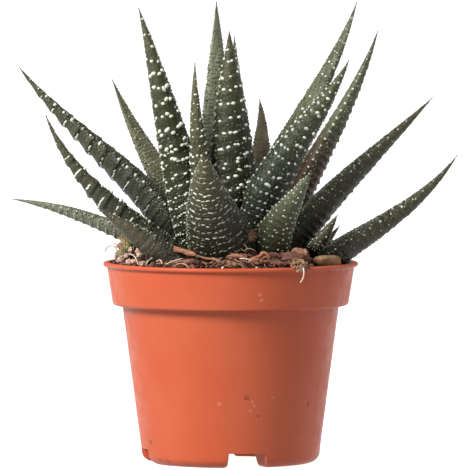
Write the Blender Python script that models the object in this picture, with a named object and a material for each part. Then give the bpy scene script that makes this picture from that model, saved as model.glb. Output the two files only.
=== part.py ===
"""A haworthia in its nursery pot: a rosette of thick, pointed, warty leaves and a small offset beside it.

Metres, +Z up. The origin is on the pot's axis, on the surface that the pot stands on.
+X is the right-hand side and -Y the front. Sizes below are in millimetres, and MM turns them into metres.
"""

import math
from typing import NamedTuple

import bmesh
import bpy
import numpy as np

MM = 0.001
SEAT_GAP = 0.3

# Pot: a thin moulded wall with a tall collar, a rolled lip, and a foot ring cut by four notches.
POT_HEIGHT = 67.0
RIM_RADIUS = 42.6
COLLAR_TOP_RADIUS = 41.3
COLLAR_BOTTOM_RADIUS = 39.5
COLLAR_HEIGHT = 14.4
BODY_TOP_RADIUS = 36.5
BODY_BOTTOM_RADIUS = 29.8
WALL = 0.9
LIP_THICKNESS = 1.5
FOOT_ROUND = 3.6
FOOT_WIDTH = 8.0
FLOOR_HEIGHT = 5.0
NOTCH_COUNT = 4
NOTCH_WIDTH = 13.0
NOTCH_TURN = math.radians(-78.8)
NOTCH_SIDE = 0.35
COLUMNS_BETWEEN_NOTCHES = 7
CENTRE_HOLE_RADIUS = 3.0
DRAIN_COUNT = 6
DRAIN_RADIUS = 2.4
DRAIN_CIRCLE = 12.0
CUTTER_DEPTH = 6.0
CUTTER_SIDES = 12

# Soil: level with the rim at the edge, heaped up round the plant, and hollowed where the plant stands.
SOIL_SIDE_GAP = 0.5
SOIL_EDGE_GAP = 0.9
SOIL_EDGE_HEIGHT = 65.0
SOIL_HEAP = 3.6
SOIL_HEAP_WIDTH = 12.0
SOIL_HOLLOW = 5.5
SOIL_HOLLOW_RADII = (13.5, 27.5)
SOIL_LUMP = 0.4
LIP_REACH = (COLLAR_BOTTOM_RADIUS - 1.5, RIM_RADIUS + 1.0)
SOIL_COLUMNS = 36
SOIL_TOP_RADII = (36.5, 32.0, 28.0, 24.5, 21.0, 17.5)

# Stems: low domes in which the leaves are rooted. Each stands in a plain hole in the soil.
STEM_CENTRE = (0.0, 0.0, 60.0)
STEM_RADII = (12.5, 12.5, 19.0)
STEM_FOOT_HEIGHT = 52.0
OFFSET_STEM_CENTRE = (26.0, -9.5, 63.5)
OFFSET_STEM_RADII = (4.4, 4.4, 7.5)
OFFSET_STEM_FOOT_HEIGHT = 58.0
STEM_COLUMNS = 20
STEM_ROWS = 6
ROOT_GAP = 0.75

# Leaves: each section is nearly flat above and deep below, and shrinks to a point along a curved spine.
LEAF_SIDES = 10
WART_PITCH = 7.0
LEAST_BANDS = 5
WART_HEIGHT = 0.55
TIP_HALF_WIDTH = 0.35
TIP_SHARE = 0.985
ROOT_NARROWING = 0.18
UPPER_FULLNESS = 0.34
LOWER_FULLNESS = 1.0
SPINE_SAMPLES = 60
PRESS_MARGIN = 0.16
PRESS_STEPS = 8
LEAST_SHARE = 0.08
GROUND_CLEARANCE = 0.8

# Litter on the soil: chips and lumps of bark, roots, a twig and a tuft of moss.
CHIP_SIDES = 8
CHIP_ROWS = 5
TUBE_SIDES = 6
TUBE_RINGS = 9

LEAF_GREEN = (0.075, 0.115, 0.055)
DRY_LEAF_BROWN = (0.2, 0.15, 0.09)
POT_CLAY = (0.62, 0.16, 0.075)
SOIL_BROWN = (0.055, 0.03, 0.02)
STEM_GREEN = (0.1, 0.1, 0.05)
BARK_BROWN = (0.3, 0.13, 0.07)
TWIG_RED = (0.42, 0.17, 0.09)
HUSK_TAN = (0.5, 0.27, 0.12)
PEBBLE_PINK = (0.6, 0.36, 0.28)
ROOT_TAN = (0.58, 0.38, 0.25)
ROOT_CREAM = (0.75, 0.62, 0.5)
MOSS_GREEN = (0.25, 0.27, 0.08)


class Leaf(NamedTuple):
    """One leaf. Angles are in degrees and places and lengths in millimetres.

    root is the azimuth and the elevation of its root on the stem's dome. The spine, which runs between the
    leaf's two edges, passes through low and high a third and two thirds of the way to tip. roll turns the
    leaf's face about its spine, and a higher taper keeps it wide for longer.
    """

    name: str
    root: tuple
    low: tuple
    high: tuple
    tip: tuple
    width: float
    roll: float = 0.0
    taper: float = 1.4


LEAVES = (
    Leaf("leaf_left_low", (176, 17), (-33, 4.5, 76.6), (-53.5, 8.5, 83.9), (-73.6, 12, 87.4), 9.5, 5, 2.0),
    Leaf(
        "leaf_left_front", (214, 10),
        (-30, -12.5, 78.6), (-48.2, -15, 95.4), (-61.4, -14, 116.6), 13.4, 30, 1.2,
    ),
    Leaf("leaf_left_high", (164, 32), (-28.6, 5, 92.6), (-50.3, 7, 111.6), (-71, 8, 132), 17.2, 15, 1.5),
    Leaf("leaf_back_left_high", (134, 34), (-19, 15, 89), (-30, 21, 107), (-40, 26, 127.2), 14.0),
    Leaf(
        "leaf_tall_left", (205, 42),
        (-17, -6, 99.9), (-23.8, -7, 126.8), (-30.7, -6, 152.1), 17.0, 55, 1.12,
    ),
    Leaf(
        "leaf_slim_front", (243, 36),
        (-8.7, -14, 92.5), (-11.2, -16.5, 113.6), (-11.8, -16, 134), 11.8, 0, 1.15,
    ),
    Leaf("leaf_broad_front", (277, 8), (-2, -28, 80.7), (-5, -40, 94.4), (-8.6, -49, 106.1), 24.0, 0, 1.4),
    Leaf("leaf_tallest", (122, 58), (-4.3, 8, 102), (-4.4, 10, 128), (-4.8, 11, 153.8), 16.5, 0, 1.4),
    Leaf("leaf_centre", (300, 62), (1.4, -8, 99.8), (0.5, -8.5, 122.5), (-0.5, -7, 144.3), 16.5, 0, 1.7),
    Leaf("leaf_centre_back", (50, 62), (2.6, 7, 99), (1.5, 9, 121), (1.3, 10, 142), 13.6, 0, 1.5),
    Leaf("leaf_dry_back", (78, 34), (7.4, 16, 87), (10.2, 20, 104), (9.7, 22, 120.7), 12.0, 0, 1.7),
    Leaf("leaf_tall_right", (60, 46), (15.8, 11, 100.2), (30.4, 13, 126.8), (42.4, 14, 153.7), 14.8, -15),
    Leaf("leaf_right_front", (318, 38), (12.4, -16, 95.2), (26.9, -16, 115), (39.3, -15, 134.9), 16.5, -35),
    Leaf("leaf_right_back", (12, 32), (23, 8, 94.5), (37.3, 14, 118.3), (49.6, 18, 144.1), 16.6, -5),
    Leaf("leaf_right_spread", (352, 18), (29.2, 0, 86.3), (47.8, 2, 104.7), (67.6, 3, 121.9), 15.5, -20),
    Leaf("leaf_right_low", (352, 38), (45.8, -11, 78.5), (61.6, -12, 89.2), (75.4, -12, 103.3), 12.2, -20),
    Leaf("leaf_short_front", (312, 8), (15.8, -21, 77.5), (21.2, -30, 88.8), (26.6, -36, 98.9), 16.0, -10),
    Leaf(
        "leaf_offset_inner", (300, 62),
        (29.6, -11.5, 74.5), (32.6, -12, 78.9), (35.6, -12, 83.3), 6.5, 0, 1.6,
    ),
    Leaf(
        "leaf_offset_outer", (66, 40),
        (30.4, -4.4, 72.4), (33.3, -3.6, 75.6), (36.4, -3.2, 79.2), 4.6, 0, 1.6,
    ),
    Leaf("leaf_back_low", (95, 10), (-1, 26, 76), (1, 38, 85), (4, 50, 91), 15.0),
    Leaf("leaf_back_right_low", (58, 10), (16, 22, 75), (25, 33, 83), (35, 44, 88), 14.0),
    Leaf("leaf_back_left_low", (128, 10), (-15, 23, 76), (-22, 34, 84), (-28, 46, 90), 14.0),
    Leaf("leaf_far_left_low", (149, 8), (-24, 14, 73), (-36, 24, 77.5), (-47, 33, 79), 12.0),
    Leaf("leaf_far_right_low", (30, 8), (19, 12, 71), (27.5, 19, 73), (35.5, 26, 72.6), 11.0),
)

DRY_LEAVES = ("leaf_dry_back",)
OFFSET_LEAVES = ("leaf_right_low", "leaf_offset_inner", "leaf_offset_outer")


class Chip(NamedTuple):
    """A loose lump on the soil: its place, its length, width and height in millimetres, and its turn."""

    name: str
    place: tuple
    size: tuple
    turn: float
    colour: tuple
    ripple: float = 0.12


CHIPS = (
    Chip("bark_chip", (20.5, -26.6), (12.5, 5.0, 5.0), 8, BARK_BROWN),
    Chip("husk_chip", (33.0, -21.5), (10.0, 4.2, 3.6), 20, HUSK_TAN, 0.06),
    Chip("root_tangle", (22.4, -32.0), (7.2, 4.0, 4.0), -18, ROOT_TAN, 0.15),
    Chip("moss_tuft", (-35.6, -2.0), (7.0, 9.0, 9.5), 30, MOSS_GREEN, 0.2),
    Chip("pebble_left", (-36.5, -12.0), (4.6, 3.8, 3.6), 40, PEBBLE_PINK),
    Chip("pebble_middle", (-33.0, -18.0), (4.8, 3.6, 3.4), -15, PEBBLE_PINK),
    Chip("pebble_right", (-28.6, -24.5), (5.0, 3.4, 3.2), 70, PEBBLE_PINK),
    Chip("bark_crumb", (-13.0, -31.5), (5.2, 3.2, 2.8), 15, BARK_BROWN),
)


class Strand(NamedTuple):
    """A twig or a root: the points that it passes through and its two end radii, in millimetres."""

    name: str
    points: tuple
    radii: tuple
    colour: tuple


STRANDS = (
    Strand(
        "twig",
        ((-18.2, -23.5, 72.2), (-13.5, -27.5, 71.2), (-8.5, -31, 70.3), (-3.4, -34, 69.4)),
        (0.95, 0.6),
        TWIG_RED,
    ),
    Strand(
        "bark_curl",
        ((5.6, -35.5, 67.6), (7.6, -34, 68.9), (9.2, -31.8, 70.6), (11, -32.6, 71), (12.6, -31, 71.4)),
        (1.2, 1.0),
        HUSK_TAN,
    ),
    Strand(
        "root_over_rim",
        ((23.3, -35.1, 68.4), (23.6, -36.5, 68.1), (23.8, -37.8, 66.8), (23.9, -38.1, 64.8), (23.2, -38, 62.4)),
        (0.5, 0.35),
        ROOT_CREAM,
    ),
)


def clear_scene():
    for obj in list(bpy.data.objects):
        bpy.data.objects.remove(obj)


def material(name, colour, roughness):
    made = bpy.data.materials.new(name)
    made.use_nodes = True
    made.diffuse_color = (*colour, 1.0)
    shader = made.node_tree.nodes["Principled BSDF"]
    shader.inputs["Base Color"].default_value = (*colour, 1.0)
    shader.inputs["Roughness"].default_value = roughness
    shader.inputs["Metallic"].default_value = 0.0
    return made


def add_object(name, points_mm, faces, finish):
    mesh = bpy.data.meshes.new(name)
    mesh.from_pydata([tuple(float(c) * MM for c in p) for p in points_mm], [], faces)
    mesh.materials.append(finish)
    mesh.update()
    obj = bpy.data.objects.new(name, mesh)
    bpy.context.scene.collection.objects.link(obj)
    return obj


def shade_round(obj, angle=35.0):
    obj.data.shade_smooth()
    obj.data.set_sharp_from_angle(angle=math.radians(angle))


def point_outwards(obj):
    """Turns every face outwards, which also settles a surface that was wound the other way round."""
    work = bmesh.new()
    work.from_mesh(obj.data)
    bmesh.ops.recalc_face_normals(work, faces=work.faces)
    if work.calc_volume(signed=True) < 0:
        bmesh.ops.reverse_faces(work, faces=work.faces)
    work.to_mesh(obj.data)
    work.free()


def ring_faces(rings, columns):
    """The quads between neighbouring rings of one grid that closes round its columns."""
    return [
        (
            ring * columns + column,
            ring * columns + (column + 1) % columns,
            (ring + 1) * columns + (column + 1) % columns,
            (ring + 1) * columns + column,
        )
        for ring in range(rings - 1)
        for column in range(columns)
    ]


def polar(radius, angle, height):
    return (radius * math.cos(angle), radius * math.sin(angle), height)


def foot_round_points(steps):
    """The rounded corner between the foot's flat and the body, upwards, as radius and height."""
    points = []
    for step in range(1, steps + 1):
        turn = math.radians(90.0 * step / (steps + 1))
        radius = BODY_BOTTOM_RADIUS - FOOT_ROUND + FOOT_ROUND * math.sin(turn)
        points.append((radius, FOOT_ROUND - FOOT_ROUND * math.cos(turn)))
    return points


def pot_outer_profile():
    """Radius and height on the outside: from the middle of the underside out and up to the lip."""
    flat_outer = BODY_BOTTOM_RADIUS - FOOT_ROUND
    flat_inner = BODY_BOTTOM_RADIUS - FOOT_WIDTH
    collar_foot = POT_HEIGHT - COLLAR_HEIGHT
    lip_foot = POT_HEIGHT - LIP_THICKNESS
    return [
        (CENTRE_HOLE_RADIUS, FLOOR_HEIGHT),
        (flat_inner - 1.4, FLOOR_HEIGHT),
        (flat_inner, 0.0),
        (flat_outer, 0.0),
        *foot_round_points(2),
        (BODY_BOTTOM_RADIUS, FLOOR_HEIGHT - 0.4),
        (BODY_TOP_RADIUS, collar_foot),
        (COLLAR_BOTTOM_RADIUS - 0.5, collar_foot),
        (COLLAR_BOTTOM_RADIUS, collar_foot + 0.5),
        (COLLAR_TOP_RADIUS, lip_foot),
        (RIM_RADIUS - 0.3, lip_foot),
        (RIM_RADIUS, lip_foot + 0.4),
        (RIM_RADIUS, POT_HEIGHT - 0.4),
        (RIM_RADIUS - 0.4, POT_HEIGHT),
    ]


def pot_inner_profile():
    """Radius and height inside the pot, from the lip down and in to the middle of the floor."""
    collar_foot = POT_HEIGHT - COLLAR_HEIGHT
    flat_inner = BODY_BOTTOM_RADIUS - FOOT_WIDTH
    return [
        (COLLAR_TOP_RADIUS - WALL + 0.3, POT_HEIGHT),
        (COLLAR_TOP_RADIUS - WALL, POT_HEIGHT - 0.4),
        (COLLAR_BOTTOM_RADIUS - WALL, collar_foot + WALL + 0.3),
        (BODY_TOP_RADIUS - WALL + 0.4, collar_foot + WALL),
        (BODY_TOP_RADIUS - WALL, collar_foot + 0.2),
        (BODY_BOTTOM_RADIUS - WALL, FLOOR_HEIGHT - 0.2),
        (BODY_BOTTOM_RADIUS - 2.2, 2.1),
        (BODY_BOTTOM_RADIUS - FOOT_ROUND, WALL),
        (flat_inner + 0.7, WALL),
        (flat_inner - 0.5, FLOOR_HEIGHT + WALL),
        (CENTRE_HOLE_RADIUS, FLOOR_HEIGHT + WALL),
    ]


def pot_columns():
    """For each column of the pot's grid: its angle outside and inside, and whether it lies in a notch."""
    step = 2 * math.pi / NOTCH_COUNT
    half = NOTCH_WIDTH / 2 / BODY_BOTTOM_RADIUS
    side = NOTCH_SIDE / BODY_BOTTOM_RADIUS
    wall = WALL / BODY_BOTTOM_RADIUS
    columns = []
    for notch in range(NOTCH_COUNT):
        middle = NOTCH_TURN + notch * step
        columns += [
            (middle - half - side, middle - half - side - wall, False),
            (middle - half, middle - half - wall, True),
            (middle, middle, True),
            (middle + half, middle + half + wall, True),
            (middle + half + side, middle + half + side + wall, False),
        ]
        start, end = middle + half + side, middle + step - half - side
        for column in range(1, COLUMNS_BETWEEN_NOTCHES + 1):
            angle = start + (end - start) * column / (COLUMNS_BETWEEN_NOTCHES + 1)
            columns.append((angle, angle, False))
    return columns


def build_pot():
    columns = pot_columns()
    points = []
    for radius, height in pot_outer_profile():
        for angle, _, notched in columns:
            points.append(polar(radius, angle, max(height, FLOOR_HEIGHT) if notched else height))
    for radius, height in pot_inner_profile():
        for _, angle, notched in columns:
            low = FLOOR_HEIGHT + WALL
            points.append(polar(radius, angle, max(height, low) if notched else height))
    rings = len(pot_outer_profile()) + len(pot_inner_profile())
    faces = ring_faces(rings, len(columns))
    last = (rings - 1) * len(columns)
    for column in range(len(columns)):
        after = (column + 1) % len(columns)
        faces.append((last + column, last + after, after, column))
    pot = add_object("pot", points, faces, material("pot_clay_plastic", POT_CLAY, 0.45))
    point_outwards(pot)
    cut_drain_holes(pot)
    shade_round(pot)
    return pot


def round_cutter(name, place, radius, depth):
    """An upright cylinder for a Boolean to take away, centred on a place. It isn't part of the object."""
    work = bmesh.new()
    bmesh.ops.create_cone(
        work, cap_ends=True, segments=CUTTER_SIDES, radius1=radius * MM, radius2=radius * MM, depth=depth * MM
    )
    mesh = bpy.data.meshes.new(name)
    work.to_mesh(mesh)
    work.free()
    cutter = bpy.data.objects.new(name, mesh)
    cutter.location = [c * MM for c in place]
    cutter.hide_render = True
    cutter.display_type = "WIRE"
    return cutter


def cut_drain_holes(pot):
    """Cuts a circle of round drain holes through the raised floor, between the notches."""
    cutters = bpy.data.collections.new("drain_cutters")
    bpy.context.scene.collection.children.link(cutters)
    for hole in range(DRAIN_COUNT):
        angle = NOTCH_TURN + 2 * math.pi * (hole + 0.5) / DRAIN_COUNT
        place = polar(DRAIN_CIRCLE, angle, FLOOR_HEIGHT + WALL / 2)
        cutters.objects.link(round_cutter(f"drain_cutter_{hole + 1}", place, DRAIN_RADIUS, CUTTER_DEPTH))
    cut = pot.modifiers.new("drain_holes", "BOOLEAN")
    cut.operation = "DIFFERENCE"
    cut.operand_type = "COLLECTION"
    cut.collection = cutters


def lumps(x, y):
    """The soil's unevenness at a place, from -1 to 1, by a sum of waves that don't line up."""
    return (
        0.5 * np.sin(0.43 * x + 1.3) * np.cos(0.39 * y - 0.4)
        + 0.3 * np.sin(0.81 * x - 0.52 * y)
        + 0.2 * np.cos(1.1 * y + 0.67 * x + 2.0)
    )


def smooth_step(share):
    share = np.clip(share, 0.0, 1.0)
    return share * share * (3 - 2 * share)


def soil_height(x, y):
    """Height of the soil's top, in millimetres."""
    radius = np.hypot(x, y)
    heap = smooth_step((COLLAR_TOP_RADIUS - WALL - radius) / SOIL_HEAP_WIDTH)
    inner, outer = SOIL_HOLLOW_RADII
    hollow = smooth_step((outer - radius) / (outer - inner))
    return SOIL_EDGE_HEIGHT + SOIL_HEAP * heap - SOIL_HOLLOW * hollow + SOIL_LUMP * lumps(x, y)


def ground_height(x, y):
    """The height that a leaf has to keep above: the soil's, the lip's, or that of what the pot stands on."""
    reach = np.hypot(x, y)
    inner, outer = LIP_REACH
    on_the_pot = np.where(reach > inner, POT_HEIGHT, soil_height(x, y))
    return np.where(reach > outer, 0.0, on_the_pot)


def build_soil():
    collar_foot = POT_HEIGHT - COLLAR_HEIGHT
    floor = FLOOR_HEIGHT + WALL + SEAT_GAP
    clear = WALL + SOIL_SIDE_GAP
    edge = COLLAR_TOP_RADIUS - WALL - SOIL_EDGE_GAP
    hole = STEM_RADII[0] + SEAT_GAP
    angles = [2 * math.pi * column / SOIL_COLUMNS for column in range(SOIL_COLUMNS)]
    sides = [
        (BODY_BOTTOM_RADIUS - clear, floor),
        (BODY_TOP_RADIUS - clear, collar_foot - 0.2),
        (BODY_TOP_RADIUS - clear + 0.3, collar_foot + WALL + 0.4),
        (COLLAR_BOTTOM_RADIUS - clear, collar_foot + WALL + 0.8),
    ]
    points = [polar(radius, angle, height) for radius, height in sides for angle in angles]
    for radius in (edge, *SOIL_TOP_RADII, hole):
        for angle in angles:
            x, y, _ = polar(radius, angle, 0.0)
            points.append((x, y, float(soil_height(x, y))))
    hole_floor = STEM_FOOT_HEIGHT - SEAT_GAP
    points += [polar(hole, angle, hole_floor) for angle in angles]
    rings = len(points) // SOIL_COLUMNS
    faces = ring_faces(rings, SOIL_COLUMNS)
    faces.append(tuple(range(SOIL_COLUMNS)))
    faces.append(tuple(range((rings - 1) * SOIL_COLUMNS, rings * SOIL_COLUMNS)))
    soil = add_object("soil", points, faces, material("soil_peat", SOIL_BROWN, 0.95))
    point_outwards(soil)
    cut_offset_hole(soil)
    return soil


def cut_offset_hole(soil):
    """Cuts the plain hole in which the offset's stem stands."""
    floor = OFFSET_STEM_FOOT_HEIGHT - SEAT_GAP
    depth = 2 * (POT_HEIGHT - floor)
    radius = OFFSET_STEM_RADII[0] + 1.6 * SEAT_GAP
    place = (OFFSET_STEM_CENTRE[0], OFFSET_STEM_CENTRE[1], floor + depth / 2)
    cutter = round_cutter("offset_hole_cutter", place, radius, depth)
    bpy.context.scene.collection.objects.link(cutter)
    cut = soil.modifiers.new("offset_hole", "BOOLEAN")
    cut.operation = "DIFFERENCE"
    cut.object = cutter


def build_stem(name, centre, radii, foot_height):
    """A dome on a short round foot that stands in the soil."""
    angles = [2 * math.pi * column / STEM_COLUMNS for column in range(STEM_COLUMNS)]
    points = [polar(radii[0], angle, foot_height) for angle in angles]
    for row in range(STEM_ROWS):
        lift = math.radians(90.0 * row / STEM_ROWS)
        for angle in angles:
            points.append(polar(radii[0] * math.cos(lift), angle, centre[2] + radii[2] * math.sin(lift)))
    points = [(x + centre[0], y + centre[1], z) for x, y, z in points]
    top = len(points)
    points.append((centre[0], centre[1], centre[2] + radii[2]))
    faces = ring_faces(STEM_ROWS + 1, STEM_COLUMNS)
    faces.append(tuple(range(STEM_COLUMNS)))
    last = STEM_ROWS * STEM_COLUMNS
    for column in range(STEM_COLUMNS):
        faces.append((last + column, last + (column + 1) % STEM_COLUMNS, top))
    stem = add_object(name, points, faces, material(f"{name}_skin", STEM_GREEN, 0.7))
    point_outwards(stem)
    shade_round(stem)
    return stem


STEMS = {
    "main": (np.array(STEM_CENTRE), np.array(STEM_RADII)),
    "offset": (np.array(OFFSET_STEM_CENTRE), np.array(OFFSET_STEM_RADII)),
}


def stem_of(leaf):
    return STEMS["offset" if leaf.name in OFFSET_LEAVES else "main"]


def unit(vectors):
    return vectors / np.linalg.norm(vectors, axis=-1, keepdims=True)


class LeafForm:
    """The spine, the turning frame and the section sizes of one leaf, at given shares of its length."""

    def __init__(self, leaf, shares):
        centre, radii = stem_of(leaf)
        around, lift = (math.radians(angle) for angle in leaf.root)
        outward = np.array([*polar(math.cos(lift), around, math.sin(lift))])
        root = centre + outward * (radii + ROOT_GAP)
        through = np.array([root, leaf.low, leaf.high, leaf.tip], float)
        cubic = np.linalg.solve(np.vander([0, 1 / 3, 2 / 3, 1]), through)
        s = np.asarray(shares, float)
        self.centres = np.vander(s, 4) @ cubic
        self.along = unit(np.stack([3 * s**2, 2 * s, np.ones_like(s)], axis=1) @ cubic[:3])
        across = np.array([-math.sin(around), math.cos(around), 0.0])
        across = unit(across - (self.along @ across)[:, None] * self.along)
        facing = np.cross(self.along, across)
        roll = math.radians(leaf.roll)
        self.across = math.cos(roll) * across + math.sin(roll) * facing
        self.facing = np.cross(self.along, self.across)
        narrowed = np.minimum(1.0, 1 - ROOT_NARROWING + 2.2 * s)
        self.half_width = np.maximum(leaf.width / 2 * (1 - s**leaf.taper) * narrowed, TIP_HALF_WIDTH)
        self.upper = self.half_width * UPPER_FULLNESS
        self.lower = self.half_width * LOWER_FULLNESS

    def closeness(self, points):
        """How far each point is from this leaf's spine, as a share of the leaf's own section there."""
        offsets = points[:, None, :] - self.centres[None, :, :]
        nearest = np.argmin((offsets**2).sum(axis=2), axis=1)
        offset = points - self.centres[nearest]
        past = (offset * self.along[nearest]).sum(axis=1)
        beyond = np.where(nearest == 0, np.minimum(past, 0.0), 0.0)
        side = (offset * self.across[nearest]).sum(axis=1) / self.half_width[nearest]
        rise = (offset * self.facing[nearest]).sum(axis=1)
        thick = np.where(rise > 0, self.upper[nearest], self.lower[nearest])
        return np.sqrt(side**2 + (rise / thick) ** 2 + (beyond / self.lower[nearest]) ** 2)


def leaf_shares(leaf):
    """Shares of the length at which the rings stand: one on each band of warts and one in each valley.

    low is a third of the way along, so the whole length is about one and a half times the rest.
    """
    length = np.linalg.norm(np.array(leaf.tip) - np.array(leaf.low)) * 1.5
    rings = 2 * max(LEAST_BANDS, round(length / WART_PITCH)) + 1
    return [TIP_SHARE * (ring / rings) ** 0.95 for ring in range(rings + 1)]


def leaf_grid(leaf):
    """The leaf's rings of points before neighbours press on them, with every second point of a band up."""
    form = LeafForm(leaf, leaf_shares(leaf))
    rings = []
    for ring, centre in enumerate(form.centres):
        fade = min(1.0, form.half_width[ring] / 3.0)
        points = []
        for side in range(LEAF_SIDES):
            turn = 2 * math.pi * side / LEAF_SIDES
            x = form.half_width[ring] * math.cos(turn)
            y = math.sin(turn) * (form.upper[ring] if math.sin(turn) > 0 else form.lower[ring])
            banded = ring % 2 == 1 and (side + ring // 2) % 2 == 0
            point = x * form.across[ring] + y * form.facing[ring]
            if banded:
                point = point * (1 + WART_HEIGHT * fade / np.linalg.norm(point))
            points.append(centre + point)
        rings.append(points)
    return form, np.array(rings)


def press_apart(form, rings, others):
    """Draws in each point that lies nearer to a neighbour's spine than to its own: no two leaves cross."""
    centres = np.repeat(form.centres[:, None, :], rings.shape[1], axis=1).reshape(-1, 3)
    reach = rings.reshape(-1, 3) - centres
    low = np.full(len(reach), LEAST_SHARE)
    high = np.ones(len(reach))
    share = high.copy()
    for _ in range(PRESS_STEPS):
        points = centres + reach * share[:, None]
        own = form.closeness(points)
        free = np.ones(len(points), bool)
        for other in others:
            free &= other.closeness(points) - own > PRESS_MARGIN
        low = np.where(free, share, low)
        high = np.where(free, high, share)
        share = np.where(free & (share >= 1.0), 1.0, (low + high) / 2)
    return (centres + reach * low[:, None]).reshape(rings.shape)


def clear_of_stems(points):
    """Moves points that lie within a stem's dome, or too near it, straight out from its middle."""
    for centre, radii in STEMS.values():
        offset = points - centre
        depth = np.linalg.norm(offset / (radii + ROOT_GAP), axis=-1, keepdims=True)
        inside = (depth < 1.0) & (offset[..., 2:3] > 0)
        points = np.where(inside, centre + offset / np.maximum(depth, 0.05), points)
    return points


def clear_of_ground(points):
    lifted = points.copy()
    lowest = ground_height(points[..., 0], points[..., 1]) + GROUND_CLEARANCE
    lifted[..., 2] = np.maximum(points[..., 2], lowest)
    return lifted


def build_leaf(leaf, forms, finish):
    form, rings = leaf_grid(leaf)
    rings = press_apart(form, rings, [other for name, other in forms.items() if name != leaf.name])
    centre, radii = stem_of(leaf)
    root_offset = rings[0] - centre
    depth = np.linalg.norm(root_offset / (radii + ROOT_GAP), axis=-1, keepdims=True)
    rings[0] = centre + root_offset / depth
    rings = clear_of_ground(clear_of_stems(rings))
    points = [tuple(point) for ring in rings for point in ring]
    root_middle = len(points)
    points.append(tuple(clear_of_ground(form.centres[:1])[0]))
    points.append(leaf.tip)
    faces = ring_faces(len(rings), LEAF_SIDES)
    last = (len(rings) - 1) * LEAF_SIDES
    for side in range(LEAF_SIDES):
        after = (side + 1) % LEAF_SIDES
        faces.append((after, side, root_middle))
        faces.append((last + side, last + after, root_middle + 1))
    obj = add_object(leaf.name, points, faces, finish)
    point_outwards(obj)
    return obj


def build_leaves():
    shares = np.linspace(0.0, 1.0, SPINE_SAMPLES)
    forms = {leaf.name: LeafForm(leaf, shares) for leaf in LEAVES}
    for leaf in LEAVES:
        colour = DRY_LEAF_BROWN if leaf.name in DRY_LEAVES else LEAF_GREEN
        build_leaf(leaf, forms, material(f"{leaf.name}_skin", colour, 0.5))


def build_chip(chip):
    """A rounded, uneven lump whose underside follows the soil."""
    turn = math.radians(chip.turn)
    length, width, height = (size / 2 for size in chip.size)
    x0, y0 = chip.place
    z0 = float(soil_height(x0, y0)) + GROUND_CLEARANCE + height * 0.8
    points = []
    for row in range(1, CHIP_ROWS):
        lift = math.pi * (row / CHIP_ROWS - 0.5)
        for side in range(CHIP_SIDES):
            around = 2 * math.pi * side / CHIP_SIDES
            swell = 1 + chip.ripple * math.sin(3 * around + 2.1 * row + x0)
            x = length * swell * math.cos(lift) * math.cos(around)
            y = width * swell * math.cos(lift) * math.sin(around)
            px = x0 + x * math.cos(turn) - y * math.sin(turn)
            py = y0 + x * math.sin(turn) + y * math.cos(turn)
            points.append((px, py, z0 + height * math.sin(lift) * swell))
    points.append((x0, y0, z0 - height))
    points.append((x0, y0, z0 + height))
    grounded = [(x, y, max(z, resting_height(x, y))) for x, y, z in points]
    faces = ring_faces(CHIP_ROWS - 1, CHIP_SIDES)
    last = (CHIP_ROWS - 2) * CHIP_SIDES
    for side in range(CHIP_SIDES):
        after = (side + 1) % CHIP_SIDES
        faces.append((after, side, len(points) - 2))
        faces.append((last + side, last + after, len(points) - 1))
    obj = add_object(chip.name, grounded, faces, material(f"{chip.name}_skin", chip.colour, 0.85))
    point_outwards(obj)


def resting_height(x, y):
    """The lowest that litter may reach: a little above the soil."""
    return float(ground_height(x, y)) + GROUND_CLEARANCE


def build_strand(strand):
    """A round tube through the strand's points, with a slow change of thickness and closed ends."""
    knots = np.linspace(0.0, 1.0, len(strand.points))
    shares = np.linspace(0.0, 1.0, TUBE_RINGS)
    route = np.polynomial.polynomial.Polynomial
    degree = len(strand.points) - 1
    axes = [route.fit(knots, [point[axis] for point in strand.points], degree) for axis in range(3)]
    centres = np.stack([axis(shares) for axis in axes], axis=1)
    along = unit(np.stack([axis.deriv()(shares) for axis in axes], axis=1))
    side_ways = unit(np.cross(along, np.array([0.3, 0.5, 1.0])))
    upward = np.cross(side_ways, along)
    points = []
    for ring, centre in enumerate(centres):
        radius = strand.radii[0] + (strand.radii[1] - strand.radii[0]) * shares[ring]
        for side in range(TUBE_SIDES):
            turn = 2 * math.pi * side / TUBE_SIDES
            spoke = math.cos(turn) * side_ways[ring] + math.sin(turn) * upward[ring]
            points.append(centre + radius * spoke)
    faces = ring_faces(TUBE_RINGS, TUBE_SIDES)
    faces.append(tuple(range(TUBE_SIDES)))
    faces.append(tuple(range((TUBE_RINGS - 1) * TUBE_SIDES, TUBE_RINGS * TUBE_SIDES)))
    obj = add_object(strand.name, points, faces, material(f"{strand.name}_skin", strand.colour, 0.8))
    point_outwards(obj)
    shade_round(obj)


def main():
    clear_scene()
    build_pot()
    build_soil()
    build_stem("stem", STEM_CENTRE, STEM_RADII, STEM_FOOT_HEIGHT)
    build_stem("offset_stem", OFFSET_STEM_CENTRE, OFFSET_STEM_RADII, OFFSET_STEM_FOOT_HEIGHT)
    build_leaves()
    for chip in CHIPS:
        build_chip(chip)
    for strand in STRANDS:
        build_strand(strand)


main()
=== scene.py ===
"""Looks of a potted haworthia: every leaf with its warts, the nursery pot, the soil and the litter on it.

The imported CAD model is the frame, and nothing of it is moved: each CAD node is replaced by a finer piece of
the same form, in the same place. Sizes are in millimetres and MM turns them into metres. +X is the
right-hand side, -Y the front and +Z up, with the origin on the pot's axis, on the surface that it stands
on.
"""

import functools
import logging
import math
from collections.abc import Iterable, Sequence
from dataclasses import dataclass, field
from enum import Enum

import bmesh
import bpy
import numpy as np
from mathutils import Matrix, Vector, noise


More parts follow.
